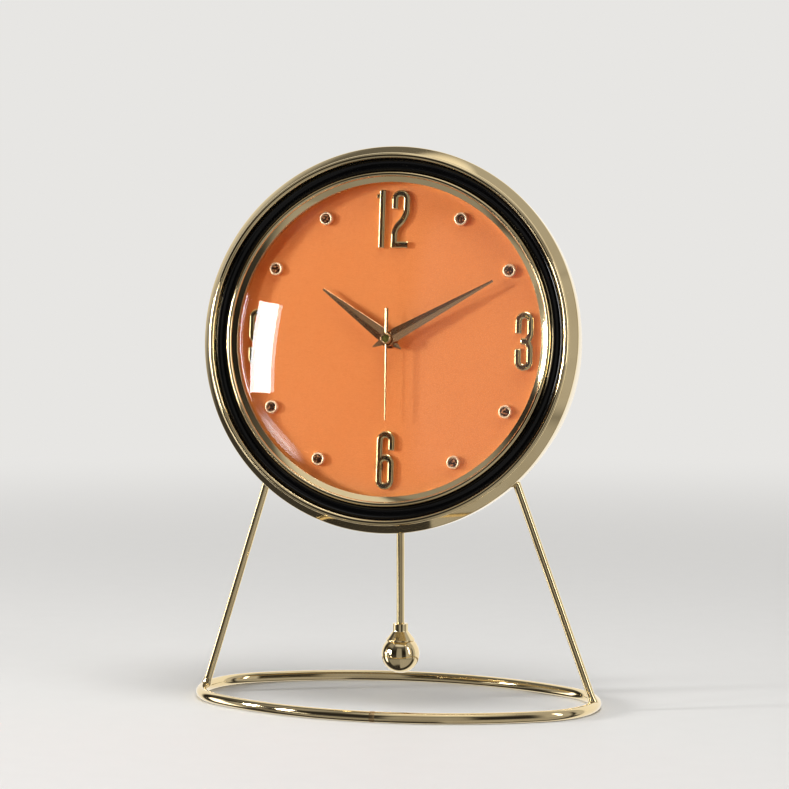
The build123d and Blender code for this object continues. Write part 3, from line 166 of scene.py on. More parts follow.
class Effects:
    """Shader node groups that several finishes share."""

    @staticmethod
    def start(name: str, **inputs: object) -> tuple[Tree, Sockets]:
        """Start a group with named inputs.

        Args:
            name: The group's name.
            **inputs: Each input's default, a colour or a value.

        Returns:
            The group's tree and the sockets of its inputs.
        """
        group = bpy.data.node_groups.new(name, "ShaderNodeTree")
        for label, default in inputs.items():
            kind = "NodeSocketColor" if isinstance(default, tuple) else "NodeSocketFloat"
            group.interface.new_socket(name=label, in_out="INPUT", socket_type=kind).default_value = default
        tree = Tree(group)
        return tree, tree.add("NodeGroupInput").outputs

    @staticmethod
    def end(tree: Tree, **results: Socket) -> NodeTree:
        """Give a group its named outputs.

        Args:
            tree: The group's tree.
            **results: The socket that feeds each output.

        Returns:
            The finished group.
        """
        for label, socket in results.items():
            kind = "NodeSocketColor" if socket.type == "RGBA" else "NodeSocketFloat"
            tree.tree.interface.new_socket(name=label, in_out="OUTPUT", socket_type=kind)
        tree.add("NodeGroupOutput", results)
        return tree.tree

    @staticmethod
    @cache
    def polish_marks() -> NodeTree:
        """Haze, smears, pits and hairline rubbing of a polished metal or lacquer.

        Returns:
            The group.
        """
        tree, given = Effects.start("polish_marks", Colour=WHITE, Tint=WHITE, Roughness=0.1, Marks=0.5)
        spot = tree.spot()
        smear = tree.ramp(tree.noise(spot, 38.0, 4.0), 0.42, 0.72)
        stretched = tree.add("Mapping", {"Vector": spot, "Scale": (900.0, 900.0, 120.0)}).outputs[0]
        hair = tree.noise(stretched, 1.0, 2.0)
        pits = tree.ramp(tree.add("TexVoronoi", {"Vector": spot, "Scale": 260.0}).outputs[0], 0.06, 0.0)
        share = tree.times(smear, given["Marks"])
        rub = tree.times(tree.math("SUBTRACT", hair, 0.5), tree.times(given["Marks"], 0.10))
        rough = tree.math("ADD", given["Roughness"], tree.times(share, 0.09))
        rough = tree.math("ADD", rough, rub)
        rough = tree.math("ADD", rough, tree.times(pits, 0.25), clamp=True)
        colour = tree.blend(share, given["Colour"], given["Tint"])
        return Effects.end(tree, Colour=colour, Roughness=rough, Height=hair)

    @staticmethod
    @cache
    def moulded_grain() -> NodeTree:
        """Spark-eroded texture of a moulded or sawn surface, with slight shading.

        Returns:
            The group.
        """
        tree, given = Effects.start("moulded_grain", Colour=WHITE, Tint=WHITE, Roughness=0.5, Scale=900.0)
        spot = tree.spot()
        grain = tree.noise(spot, given["Scale"], 3.0)
        slow = tree.noise(spot, 30.0, 2.0)
        share = tree.times(tree.ramp(slow, 0.3, 0.75), 0.6)
        share = tree.math("ADD", share, tree.times(grain, 0.3), clamp=True)
        rough = tree.math("ADD", given["Roughness"], tree.times(tree.math("SUBTRACT", slow, 0.5), 0.2))
        colour = tree.blend(share, given["Colour"], given["Tint"])
        return Effects.end(tree, Colour=colour, Roughness=rough, Height=grain)

    @staticmethod
    @cache
    def settled_dust() -> NodeTree:
        """A mask of fine dust, on what faces up.

        Returns:
            The group.
        """
        tree, given = Effects.start("settled_dust", Amount=0.2)
        facing = tree.add("SeparateXYZ", {0: tree.add("NewGeometry").outputs["Normal"]}).outputs[2]
        motes = tree.ramp(tree.noise(tree.spot(), 1400.0, 2.0), 0.45, 0.75)
        mask = tree.times(tree.ramp(facing, 0.15, 0.95), motes)
        return Effects.end(tree, Mask=tree.times(mask, given["Amount"]))


# Finishes

@dataclass(frozen=True)
class Finish:
    """What all finishes share: a name and two tones."""

    name: str
    colour: Colour
    tint: Colour

    @cache
    def build(self) -> bpy.types.Material:
        """Make the material, once.

        Returns:
            The material, with the finish's surface on its output.
        """
        material = bpy.data.materials.new(self.name)
        material.use_nodes = True
        tree = Tree(material.node_tree)
        tree.add("OutputMaterial", {"Surface": self.surface(tree)})
        return material

    def surface(self, tree: Tree) -> Socket:
        """The finish's shader, which every kind of finish makes in its own way."""
        raise NotImplementedError


@dataclass(frozen=True)
class Polished(Finish):
    """A polished metal or lacquer with haze, hairlines and a trace of dust."""

    roughness: float
    marks: float = 0.5
    metallic: float = 1.0
    dust: float = 0.05
    specular: float = 0.5
    bump: float = 0.02
    depth: float = 0.02

    def surface(self, tree: Tree) -> Socket:
        """Make the marked and dusted surface.

        Args:
            tree: The material's tree.

        Returns:
            The shader.
        """
        tones = {"Colour": self.colour, "Tint": self.tint}
        marks = tree.group(Effects.polish_marks(), **tones, Roughness=self.roughness, Marks=self.marks)
        dust = tree.group(Effects.settled_dust(), Amount=self.dust)["Mask"]
        return tree.principled(
            Base_Color=tree.blend(dust, marks["Colour"], DUST),
            Roughness=tree.math("ADD", marks["Roughness"], dust, clamp=True),
            Metallic=self.metallic,
            Specular_IOR_Level=self.specular,
            Normal=tree.bump(marks["Height"], self.bump, self.depth),
        )


@dataclass(frozen=True)
class Leather(Finish):
    """Dyed leather with a pebbled grain and pores; the tint is painted shade in its creases."""

    bloom: Colour
    scale: float = 1100.0
    fine_scale: float = 2530.0
    bump: float = 0.35
    depth: float = 0.12
    specular: float = 0.35
    sheen: float = 0.08

    def surface(self, tree: Tree) -> Socket:
        """Make the grain, with a slow change of tone.

        Args:
            tree: The material's tree.

        Returns:
            The shader.
        """
        spot = tree.spot()
        warp = tree.add("TexNoise", {"Vector": spot, "Scale": 160.0, "Detail": 2.0}).outputs[1]
        bent = tree.add("VectorMath", {0: warp, "Scale": 0.0022}, operation="SCALE").outputs[0]
        spot = tree.add("VectorMath", {0: spot, 1: bent}, operation="ADD").outputs[0]
        coarse, fine = (
            tree.add("TexVoronoi", {"Vector": spot, "Scale": scale}, feature="DISTANCE_TO_EDGE").outputs[0]
            for scale in (self.scale, self.fine_scale)
        )
        pebble, wrinkle = tree.ramp(coarse, 0.0, 0.28), tree.ramp(fine, 0.0, 0.3)
        height = tree.math("ADD", tree.times(pebble, 0.7), tree.times(wrinkle, 0.3))
        tone = tree.ramp(tree.noise(spot, 16.0, 3.0), 0.3, 0.7)
        colour = tree.blend(tree.times(tone, 0.35), self.colour, self.bloom)
        crease = tree.math("SUBTRACT", 1.0, height, clamp=True)
        rough = tree.math("ADD", tree.times(crease, 0.22), tree.times(tone, 0.08))
        # Painted shade: the creases of the grain are darkened towards the tint.
        return tree.principled(
            Base_Color=tree.blend(tree.times(crease, 0.45), colour, self.tint),
            Roughness=tree.math("ADD", rough, 0.46),
            Specular_IOR_Level=self.specular,
            Sheen_Weight=self.sheen,
            Normal=tree.bump(height, self.bump, self.depth),
        )


@dataclass(frozen=True)
class Moulded(Finish):
    """Moulded plastic, rubber, board or wound wire with a fine surface grain."""

    roughness: float
    scale: float = 1200.0
    bump: float = 0.15
    depth: float = 0.05
    metallic: float = 0.0
    dust: float = 0.1

    def surface(self, tree: Tree) -> Socket:
        """Make the grained and dusted surface.

        Args:
            tree: The material's tree.

        Returns:
            The shader.
        """
        tones = {"Colour": self.colour, "Tint": self.tint}
        grain = tree.group(Effects.moulded_grain(), **tones, Roughness=self.roughness, Scale=self.scale)
        dust = tree.group(Effects.settled_dust(), Amount=self.dust)["Mask"]
        return tree.principled(
            Base_Color=tree.blend(dust, grain["Colour"], DUST),
            Roughness=grain["Roughness"],
            Metallic=self.metallic,
            Normal=tree.bump(grain["Height"], self.bump, self.depth),
        )


@dataclass(frozen=True)
class ClearGlass(Finish):
    """Clear polished glass, open to lamps; bounced light through it takes a warm colour, which paints a red
    shade into the shadows behind it.
    """

    # Painted shade: the warm colour given to bounced light through the glass, which reddens the shadows on
    # the dial.
    glow: Colour
    marks: float = 0.02
    ior: float = 1.46

    def surface(self, tree: Tree) -> Socket:
        """Make the glass.

        Args:
            tree: The material's tree.

        Returns:
            The shader.
        """
        tones = {"Colour": self.colour, "Tint": self.tint}
        colour = tree.group(Effects.polish_marks(), **tones, Roughness=0.0, Marks=self.marks)["Colour"]
        glass = tree.principled(Base_Color=colour, Roughness=0.0, IOR=self.ior, Transmission_Weight=1.0)
        path = tree.add("LightPath").outputs
        # Painted shade: bounced light through the glass is tinted warm, reddening the dial's shadows.
        tone = tree.blend(path["Is Diffuse Ray"], WHITE, self.glow)
        clear = tree.add("BsdfTransparent", {"Color": tone}).outputs[0]
        return tree.mix(tree.math("MAXIMUM", path["Is Shadow Ray"], path["Is Diffuse Ray"]), glass, clear)


@dataclass(frozen=True)
class SmokyStone(Finish):
    """A dark faceted stone with a brown glow in it."""

    roughness: float = 0.06
    ior: float = 1.6

    def surface(self, tree: Tree) -> Socket:
        """Make the stone, with lighter brown patches that paint its inner glow.

        Args:
            tree: The material's tree.

        Returns:
            The shader.
        """
        # Painted glow: random lighter brown patches stand in for light inside the stone.
        painted_glow = tree.ramp(tree.noise(tree.spot(), 900.0, 1.0), 0.52, 0.62)
        return tree.principled(
            Base_Color=tree.blend(painted_glow, self.colour, self.tint),
            Roughness=self.roughness,
            IOR=self.ior,
            Specular_Tint=self.tint,
        )


@dataclass(frozen=True)
class PaleFloor(Finish):
    """A pale floor that fades out far off and hardly shows in reflections."""

    roughness: float = 0.55
    specular: float = 0.25
    fade_from: float = 0.35
    fade_to: float = 1.6
    unseen: float = 0.96

    def surface(self, tree: Tree) -> Socket:
        """Make the floor's surface.

        Args:
            tree: The material's tree.

        Returns:
            The shader.
        """
        spot = tree.spot()
        colour = tree.blend(tree.noise(spot, 60.0, 3.0), self.colour, self.tint)
        floor = tree.principled(
            Base_Color=colour, Roughness=self.roughness, Specular_IOR_Level=self.specular
        )
        path = tree.add("LightPath").outputs
        reach = tree.add("VectorMath", {0: spot}, operation="LENGTH").outputs["Value"]
        fade = tree.times(tree.ramp(reach, self.fade_from, self.fade_to), path["Is Camera Ray"])
        clear = tree.add("BsdfTransparent").outputs[0]
        glow = tree.add("Emission", {"Color": self.colour, "Strength": 1.0}).outputs[0]
        return tree.mix(fade, tree.mix(tree.times(path["Is Glossy Ray"], self.unseen), floor, clear), glow)


class Look(Enum):
    """Every finish of the clock."""

    GOLD = Polished("champagne_gold", srgb(232, 212, 168), srgb(214, 188, 138), 0.055, marks=0.35)
    NEEDLE = Polished("satin_gold", srgb(206, 176, 132), srgb(186, 154, 112), 0.2, marks=0.4)
    FIGURE = Polished("figure_gold", srgb(240, 218, 162), srgb(222, 192, 128), 0.06, marks=0.3)
    SETTING = Polished("setting_gold", srgb(252, 222, 184), srgb(240, 202, 160), 0.42, marks=0.3)
    BRONZE = Polished("satin_bronze", srgb(204, 168, 126), srgb(168, 134, 98), 0.085, marks=0.4)
    # Painted shade and dark reflection for the hollow in the second hand's cap.
    RECESS_SHADE = Polished("recess_shade_brass", srgb(104, 98, 48), srgb(78, 72, 34), 0.36, marks=0.6)
    LACQUER = Polished(
        "black_lacquer", srgb(6, 6, 7), srgb(10, 10, 11), 0.09,
        marks=0.4, metallic=0.0, dust=0.01, specular=0.3,
    )
    STEEL = Polished("bright_steel", srgb(205, 205, 203), srgb(178, 177, 174), 0.22, marks=0.6)
    # The glass's glow is painted shade: it reddens the shadows on the dial under it.
    GLASS = ClearGlass("lens_glass", WHITE, (0.985, 0.985, 0.98, 1.0), glow=(1.0, 0.55, 0.35, 1.0))
    # The leather's tint is the painted shade of its creases.
    LEATHER = Leather("orange_leather", srgb(229, 151, 77), srgb(196, 112, 50), bloom=srgb(232, 160, 94))
    # The stone's tint is its painted glow, and the tint of its highlights.
    STONE = SmokyStone("smoky_stone", srgb(42, 24, 12), srgb(180, 136, 96))
    BLACK = Moulded("black_plastic", srgb(26, 26, 27), srgb(38, 38, 39), 0.48)
    PALE = Moulded("white_plastic", srgb(232, 229, 220), srgb(216, 212, 202), 0.42)
    RUBBER = Moulded("soft_rubber", srgb(30, 30, 30), srgb(44, 44, 43), 0.8)
    BOARD = Moulded("fibre_board", srgb(160, 130, 94), srgb(132, 104, 72), 0.8, scale=700.0, bump=0.4)
    COPPER = Moulded("copper_wire", srgb(196, 110, 62), srgb(146, 74, 38), 0.35, metallic=0.9)
    CIRCUIT = Moulded("circuit_mask", srgb(34, 92, 52), srgb(24, 72, 40), 0.35)
    LABEL = Moulded("battery_wrap", srgb(40, 66, 108), srgb(30, 52, 90), 0.28, bump=0.03)


# Shapes

@dataclass(frozen=True)
class HeadFrame:
    """The leaning frame of the head: x right, u up the dial, h out of the dial, in millimetres."""

    forward: float = 13.5
    height: float = 219.0
    tilt: float = 7.0

    def matrix(self) -> Matrix:
        """The move from head millimetres to the shared frame's metres."""
        spot = Matrix.Translation((0, -self.forward * MM, self.height * MM))
        return spot @ Matrix.Rotation(radians(90 - self.tilt), 4, "X") @ SCALE


HEAD = HeadFrame().matrix()


def arc(first: Point, through: Point, last: Point, steps: int) -> list[Point]:
    """Points on the arc through three points, both ends among them.

    Args:
        first: Where the arc starts.
        through: A point on the arc.
        last: Where the arc ends.
        steps: How many parts the arc has.

    Returns:
        The points in order.
    """
    ax, ay, bx, by, cx, cy = *first, *through, *last
    d = 2 * (ax * (by - cy) + bx * (cy - ay) + cx * (ay - by))
    a2, b2, c2 = ax * ax + ay * ay, bx * bx + by * by, cx * cx + cy * cy
    ox = (a2 * (by - cy) + b2 * (cy - ay) + c2 * (ay - by)) / d
    oy = (a2 * (cx - bx) + b2 * (ax - cx) + c2 * (bx - ax)) / d
    radius = hypot(ax - ox, ay - oy)
    start = atan2(ay - oy, ax - ox)
    mid, sweep = ((atan2(y - oy, x - ox) - start) % tau for x, y in (through, last))
    if mid > sweep:
        sweep -= tau
    turns = [start + sweep * k / steps for k in range(steps + 1)]
    return [(ox + radius * cos(t), oy + radius * sin(t)) for t in turns]


def rounded(corners: Sequence[Corner], steps: int = 5) -> list[Point]:
    """A closed outline with rounded corners.

    Args:
        corners: Each corner's place and radius.
        steps: Parts of each rounding.

    Returns:
        The outline's points in order.
    """
    outline: list[Point] = []
    for index, (x, y, radius) in enumerate(corners):
        here = Vector((x, y))
        before = (Vector(corners[index - 1][:2]) - here).normalized()
        after = (Vector(corners[(index + 1) % len(corners)][:2]) - here).normalized()
        half = before.angle(after) / 2
        if radius <= 0 or abs(half - pi / 2) < 0.01:
            outline.append((x, y))
            continue
        reach = radius / tan(half)
        middle = here + (before + after).normalized() * (radius / sin(half))
        through = middle + (here - middle).normalized() * radius
        outline += arc(tuple(here + before * reach), tuple(through), tuple(here + after * reach), steps)
    return outline


def lathe(profile: Sequence[Point], turns: int = 240, closed: bool = True) -> Mesh:
    """Turn a profile about the Z axis.

    Args:
        profile: Radius and height of each point.
        turns: Steps round the axis.
        closed: Whether the last point joins the first.

    Returns:
        Vertices and faces.
    """
    vertices, rings, faces = [], [], []
    angles = [tau * k / turns for k in range(turns)]
    for radius, height in profile:
        first = len(vertices)
        if radius < 1e-6:
            vertices.append((0.0, 0.0, height))
            rings.append([first] * turns)
        else:
            vertices += [(radius * cos(a), radius * sin(a), height) for a in angles]
            rings.append(list(range(first, first + turns)))
    for low, high in zip(rings, rings[1:] + (rings[:1] if closed else [])):
        for k in range(turns):
            n = (k + 1) % turns
            face = list(dict.fromkeys((low[k], low[n], high[n], high[k])))
            if len(face) > 2:
                faces.append(face)
    return vertices, faces


def skin(rings: int, sides: int, closed: bool) -> list[list[int]]:
    """Faces over a row of rings of vertices.

    Args:
        rings: How many rings there are.
        sides: Vertices of each ring.
        closed: Whether the last ring joins the first; if not, both ends get a cap.

    Returns:
        The faces.
    """
    faces = []
    for k in range(rings if closed else rings - 1):
        n = (k + 1) % rings
        for j in range(sides):
            i = (j + 1) % sides
            faces.append([k * sides + j, k * sides + i, n * sides + i, n * sides + j])
    if not closed:
        faces += [list(range(sides)), [(rings - 1) * sides + j for j in range(sides)]]
    return faces


def tube(path: Sequence[Vector], radii: Sequence[float], sides: int, closed: bool) -> Mesh:
    """Sweep a round section along a path.

    Args:
        path: Points of the path.
        radii: The section's radius at each point.
        sides: Sides of the section.
        closed: Whether the path closes on itself.

    Returns:
        Vertices and faces.
    """
    vertices = []
    count = len(path)
    for k, here in enumerate(path):
        before = path[k - 1] if closed or k else here
        after = path[(k + 1) % count] if closed or k < count - 1 else here
        along = (after - before).normalized()
        side = along.cross(Vector((0, 0, 1)))
        side = side.normalized() if side.length > 1e-6 else Vector((1, 0, 0))
        up = side.cross(along)
        turns = [tau * j / sides for j in range(sides)]
        vertices += [here + (side * cos(t) + up * sin(t)) * radii[k] for t in turns]
    return vertices, skin(count, sides, closed)


def stroke(
    path: Sequence[Point], width: float, rise: float, crown: float, closed: bool, parts: int = 6
) -> Mesh:
    """A raised stroke along a flat path, with a face that falls towards its edges.

    Args:
        path: Points of the middle line.
        width: The stroke's width.
        rise: Its height along the middle.
        crown: How far its face falls from the middle to the edges.
        closed: Whether the path closes on itself.
        parts: Parts of half the face's width.

    Returns:
        Vertices and faces.
    """
    points = [Vector(p) for p in path]
    drops = [0.0] * len(points)
    if not closed:
        first = points[0] + (points[1] - points[0]).normalized() * crown
        last = points[-1] + (points[-2] - points[-1]).normalized() * crown
        points = [points[0], first, *points[1:-1], last, points[-1]]
        drops = [crown / 2, *[0.0] * (len(points) - 2), crown / 2]
    count = len(points)
    shares = [k / parts for k in range(-parts, parts + 1)]
    vertices = []
    for k, here in enumerate(points):
        before = points[k - 1] if closed or k else None
        after = points[(k + 1) % count] if closed or k < count - 1 else None
        one = (here - before).normalized() if before is not None else (after - here).normalized()
        two = (after - here).normalized() if after is not None else one
        normal = Vector((-one.y - two.y, one.x + two.x)).normalized()
        normal /= max(0.5, normal.dot(Vector((-one.y, one.x))))
        face = [(t, rise - drops[k] - crown * t ** 4) for t in shares]
        for share, height in [(-1.0, 0.0), *face, (1.0, 0.0)]:
            vertices.append((*(here + normal * (share * width / 2)), height))
    return vertices, skin(count, len(shares) + 2, closed)


def join(*parts: Mesh) -> Mesh:
    """Put several meshes together.

    Args:
        *parts: Vertices and faces of each part.

    Returns:
        Vertices and faces of all.
    """
    vertices, faces = [], []
    for points, polygons in parts:
        faces += [[len(vertices) + k for k in polygon] for polygon in polygons]
        vertices += points
    return vertices, faces


def moved(part: Mesh, matrix: Matrix) -> Mesh:
    """A mesh with its vertices moved by a matrix."""
    return [matrix @ Vector(v) for v in part[0]], part[1]


def turned(angle: float) -> Matrix:
    """A turn about the Z axis by an angle in radians."""
    return Matrix.Rotation(angle, 4, "Z")


def place(
    name: str,
    part: Mesh,
    matrix: Matrix,
    look: Look,
    nodes: Iterable[str] = (),
    body: Body = Body.CASE,
    sharp: float = 35.0,
) -> None:
    """Make a piece, dress it and hang it on its body.

    Args:
        name: The piece's name.
        part: Its vertices and faces.
        matrix: The move into the shared frame.
        look: Its finish.
        nodes: The CAD nodes it stands for.
        body: The body it rides on.
        sharp: Edges that turn by more than this angle stay sharp, in degrees.
    """
    mesh = bpy.data.meshes.new(name)
    mesh.from_pydata([tuple(matrix @ Vector(v)) for v in part[0]], [], part[1])
    work = bmesh.new()
    work.from_mesh(mesh)
    bmesh.ops.recalc_face_normals(work, faces=work.faces)
    work.to_mesh(mesh)
    work.free()
    mesh.shade_smooth()
    mesh.set_sharp_from_angle(angle=radians(sharp))
    mesh.materials.append(look.value.build())
    piece = bpy.data.objects.new(name, mesh)
    bpy.context.scene.collection.objects.link(piece)
    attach(piece, body.value)
    if nodes:
        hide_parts(*nodes)
    log.info("%s: %d faces", name, len(mesh.polygons))


def dress(look: Look, *nodes: str) -> None:
    """Give CAD nodes a finish.

    Args:
        look: The finish.
        *nodes: The nodes' names.
    """
    material = look.value.build()
    for node in nodes:
        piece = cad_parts[node]
        if not piece.material_slots:
            piece.data.materials.append(material)
        for entry in piece.material_slots:
            entry.link = "OBJECT"
            entry.material = material
        log.info("%s dressed as %s", node, material.name)


# Sub-assemblies

@dataclass
class Stand:
    """The oval hoop and the two slanted bars."""

    width: float = 250.0
    depth: float = 142.0
    bar: float = 6.5
    level: float = 3.0
    end_radius: float = 46.0
    leg_bar: float = 4.8
    foot: Corner = (121.75, 0.0, 3.0)
    seat: Corner = (75.30, -12.10, 139.6)
    flare: tuple[Point, ...] = ((0.0, 1.32), (3.0, 1.28), (4.2, 1.16), (5.6, 1.05), (7.2, 1.0))
    weld_turn: float = -86.5
    weld_swell: Corner = (0.98, 1.04, 0.98)
    sides: int = 28
    hoop_steps: int = 40
    weld_steps: int = 90

    def hoop_path(self, steps: int) -> list[Vector]:
        """Points along the middle of the hoop's bar.

        Args:
            steps: Points on each of the four arcs.

        Returns:
            The closed path's points.
        """
        a, b, r = (self.width - self.bar) / 2, (self.depth - self.bar) / 2, self.end_radius
        side = (a * a + b * b - 2 * a * r) / (2 * (b - r))
        turn = atan2(side - b, a - r)
        path = []
        for x, y, radius, first, last in (
            (a - r, 0.0, r, -turn, turn),
            (0.0, b - side, side, turn, pi - turn),
            (r - a, 0.0, r, pi - turn, pi + turn),
            (0.0, side - b, side, pi + turn, tau - turn),
        ):
            angles = [first + (last - first) * k / steps for k in range(steps)]
            path += [Vector((x + radius * cos(t), y + radius * sin(t), self.level)) for t in angles]
        return path

    def build(self) -> None:
        """Make the hoop, its weld and the bars."""
        path = self.hoop_path(self.hoop_steps)
        vertices, faces = tube(path, [self.bar / 2] * len(path), self.sides, True)
        flat = [Vector((v.x, v.y, max(v.z, 0.0))) for v in vertices]
        place("hoop", (flat, faces), SCALE, Look.GOLD, ["base_ring"])
        self.build_weld()
        for side, name in ((1, "right"), (-1, "left")):
            foot, seat = (Vector((x * side, y, z)) for x, y, z in (self.foot, self.seat))
            along = (seat - foot).normalized()
            path = [foot + along * reach for reach, _ in self.flare] + [seat]
            radii = [share * self.leg_bar / 2 for _, share in self.flare] + [self.leg_bar / 2]
            bar = tube(path, radii, self.sides, False)
            place(f"bar_{name}", bar, SCALE, Look.GOLD, [f"leg_{name}"])

    def build_weld(self) -> None:
        """Make the dressed weld where the hoop's bar closes."""
        path = self.hoop_path(self.weld_steps)
        turns = [degrees(atan2(spot.y, spot.x)) for spot in path]
        near = min(range(len(path)), key=lambda k: abs(turns[k] - self.weld_turn))
        spots = [path[(near + k) % len(path)] for k in range(-1, 2)]
        bead = tube(spots, [self.bar / 2 * share for share in self.weld_swell], self.sides, False)
        place("hoop_weld", bead, SCALE, Look.NEEDLE)


@dataclass(frozen=True)
class Ring:
    """A turned ring of the head: a front curved through three points, and the corners of its back."""

    name: str
    node: str
    look: Look
    front: tuple[Point, Point, Point]
    steps: int
    back: Profile
    slot: Slot = Slot.GOLD
    turns: int = 240
    sharp: float = 35.0

    def build(self) -> None:
        """Make the ring."""
        first, _, last = self.front
        back = rounded([(*last, 0.0), *self.back, (*first, 0.0)])[1:-1]
        ring = lathe(arc(*self.front, self.steps) + back, self.turns)
        place(self.name, ring, HEAD, self.look, [self.node], sharp=self.sharp)


@dataclass
class Head:
    """The rim, the black channel, the bezel, the glass and the case behind them."""

    rim: Ring = Ring(
        "rim", "outer_rim", Look.GOLD, ((107.0, 10.0), (108.7, 11.3), (110.4, 9.0)), 14,
        ((115.0, 4.4, 1.6), (114.4, -7.5, 0.5), (111.8, -7.5, 0.2), (111.8, 2.0, 0.0), (107.0, 2.0, 0.0)),
        turns=320, sharp=30.0,
    )
    channel: Ring = Ring(
        "channel", "channel_ring", Look.LACQUER, ((106.85, 6.6), (103.2, 4.8), (99.55, 6.6)), 24,
        ((99.55, 1.5, 0.0), (95.8, 1.5, 0.0), (95.8, -4.8, 0.0), (111.5, -4.8, 0.0), (111.5, 2.0, 0.0),
         (106.85, 2.0, 0.0)),
        slot=Slot.LACQUER,
    )
    bezel: Ring = Ring(
        "bezel", "inner_bezel", Look.GOLD, ((99.4, 8.5), (97.9, 10.0), (96.4, 8.5)), 18,
        ((93.2, 6.9, 0.3), (93.2, 5.9, 0.0), (95.5, 5.9, 0.0), (95.5, 1.5, 0.0), (99.4, 1.5, 0.0)),
        turns=280,
    )
    spacer: Profile = ((93.3, 0.0, 0.0), (95.2, 0.0, 0.0), (95.2, 3.4, 0.0), (93.3, 3.4, 0.35))
    glass_radius: float = 95.2
    dome_radius: float = 92.8
    dome_rise: float = 14.2
    glass_seat: float = 3.4
    glass_thickness: float = 2.2
    glass_sharp: float = 25.0

    def build(self) -> None:
        """Make the rings and the glass, and dress the case."""
        for ring in (self.rim, self.channel, self.bezel):
            ring.build()
        place("spacer", lathe(rounded(self.spacer)), HEAD, Look.GOLD, ["dial_spacer"])
        self.build_glass()
        dress(Look.GOLD, "case_drum")
        dress(Look.BLACK, "back_cover")
        dress(Look.STEEL, "cover_screws")

    def dome(self, half: float, base: float, steps: int = 48) -> list[Point]:
        """Points over one face of the glass, from its edge to its top.

        Args:
            half: Half the dome's width.
            base: Height of its edge.
            steps: Parts of the curve.

        Returns:
            The points in order.
        """
        curve = (half**2 + self.dome_rise**2) / (2 * self.dome_rise)
        whole = atan2(half, curve - self.dome_rise)
        turns = [whole * (1 - k / steps) for k in range(steps + 1)]
        return [(curve * sin(t), base + self.dome_rise - curve * (1 - cos(t))) for t in turns]

    def build_glass(self) -> None:
        """Make the domed glass."""
        low, top = self.glass_seat, self.glass_seat + self.glass_thickness
        outside = self.dome(self.dome_radius, top)
        inside = self.dome(self.dome_radius - self.glass_thickness / 2, low)
        glass = lathe(outside + inside[::-1] + [(self.glass_radius, low), (self.glass_radius, top)])
        place("glass", glass, HEAD, Look.GLASS, ["lens_glass"], sharp=self.glass_sharp)


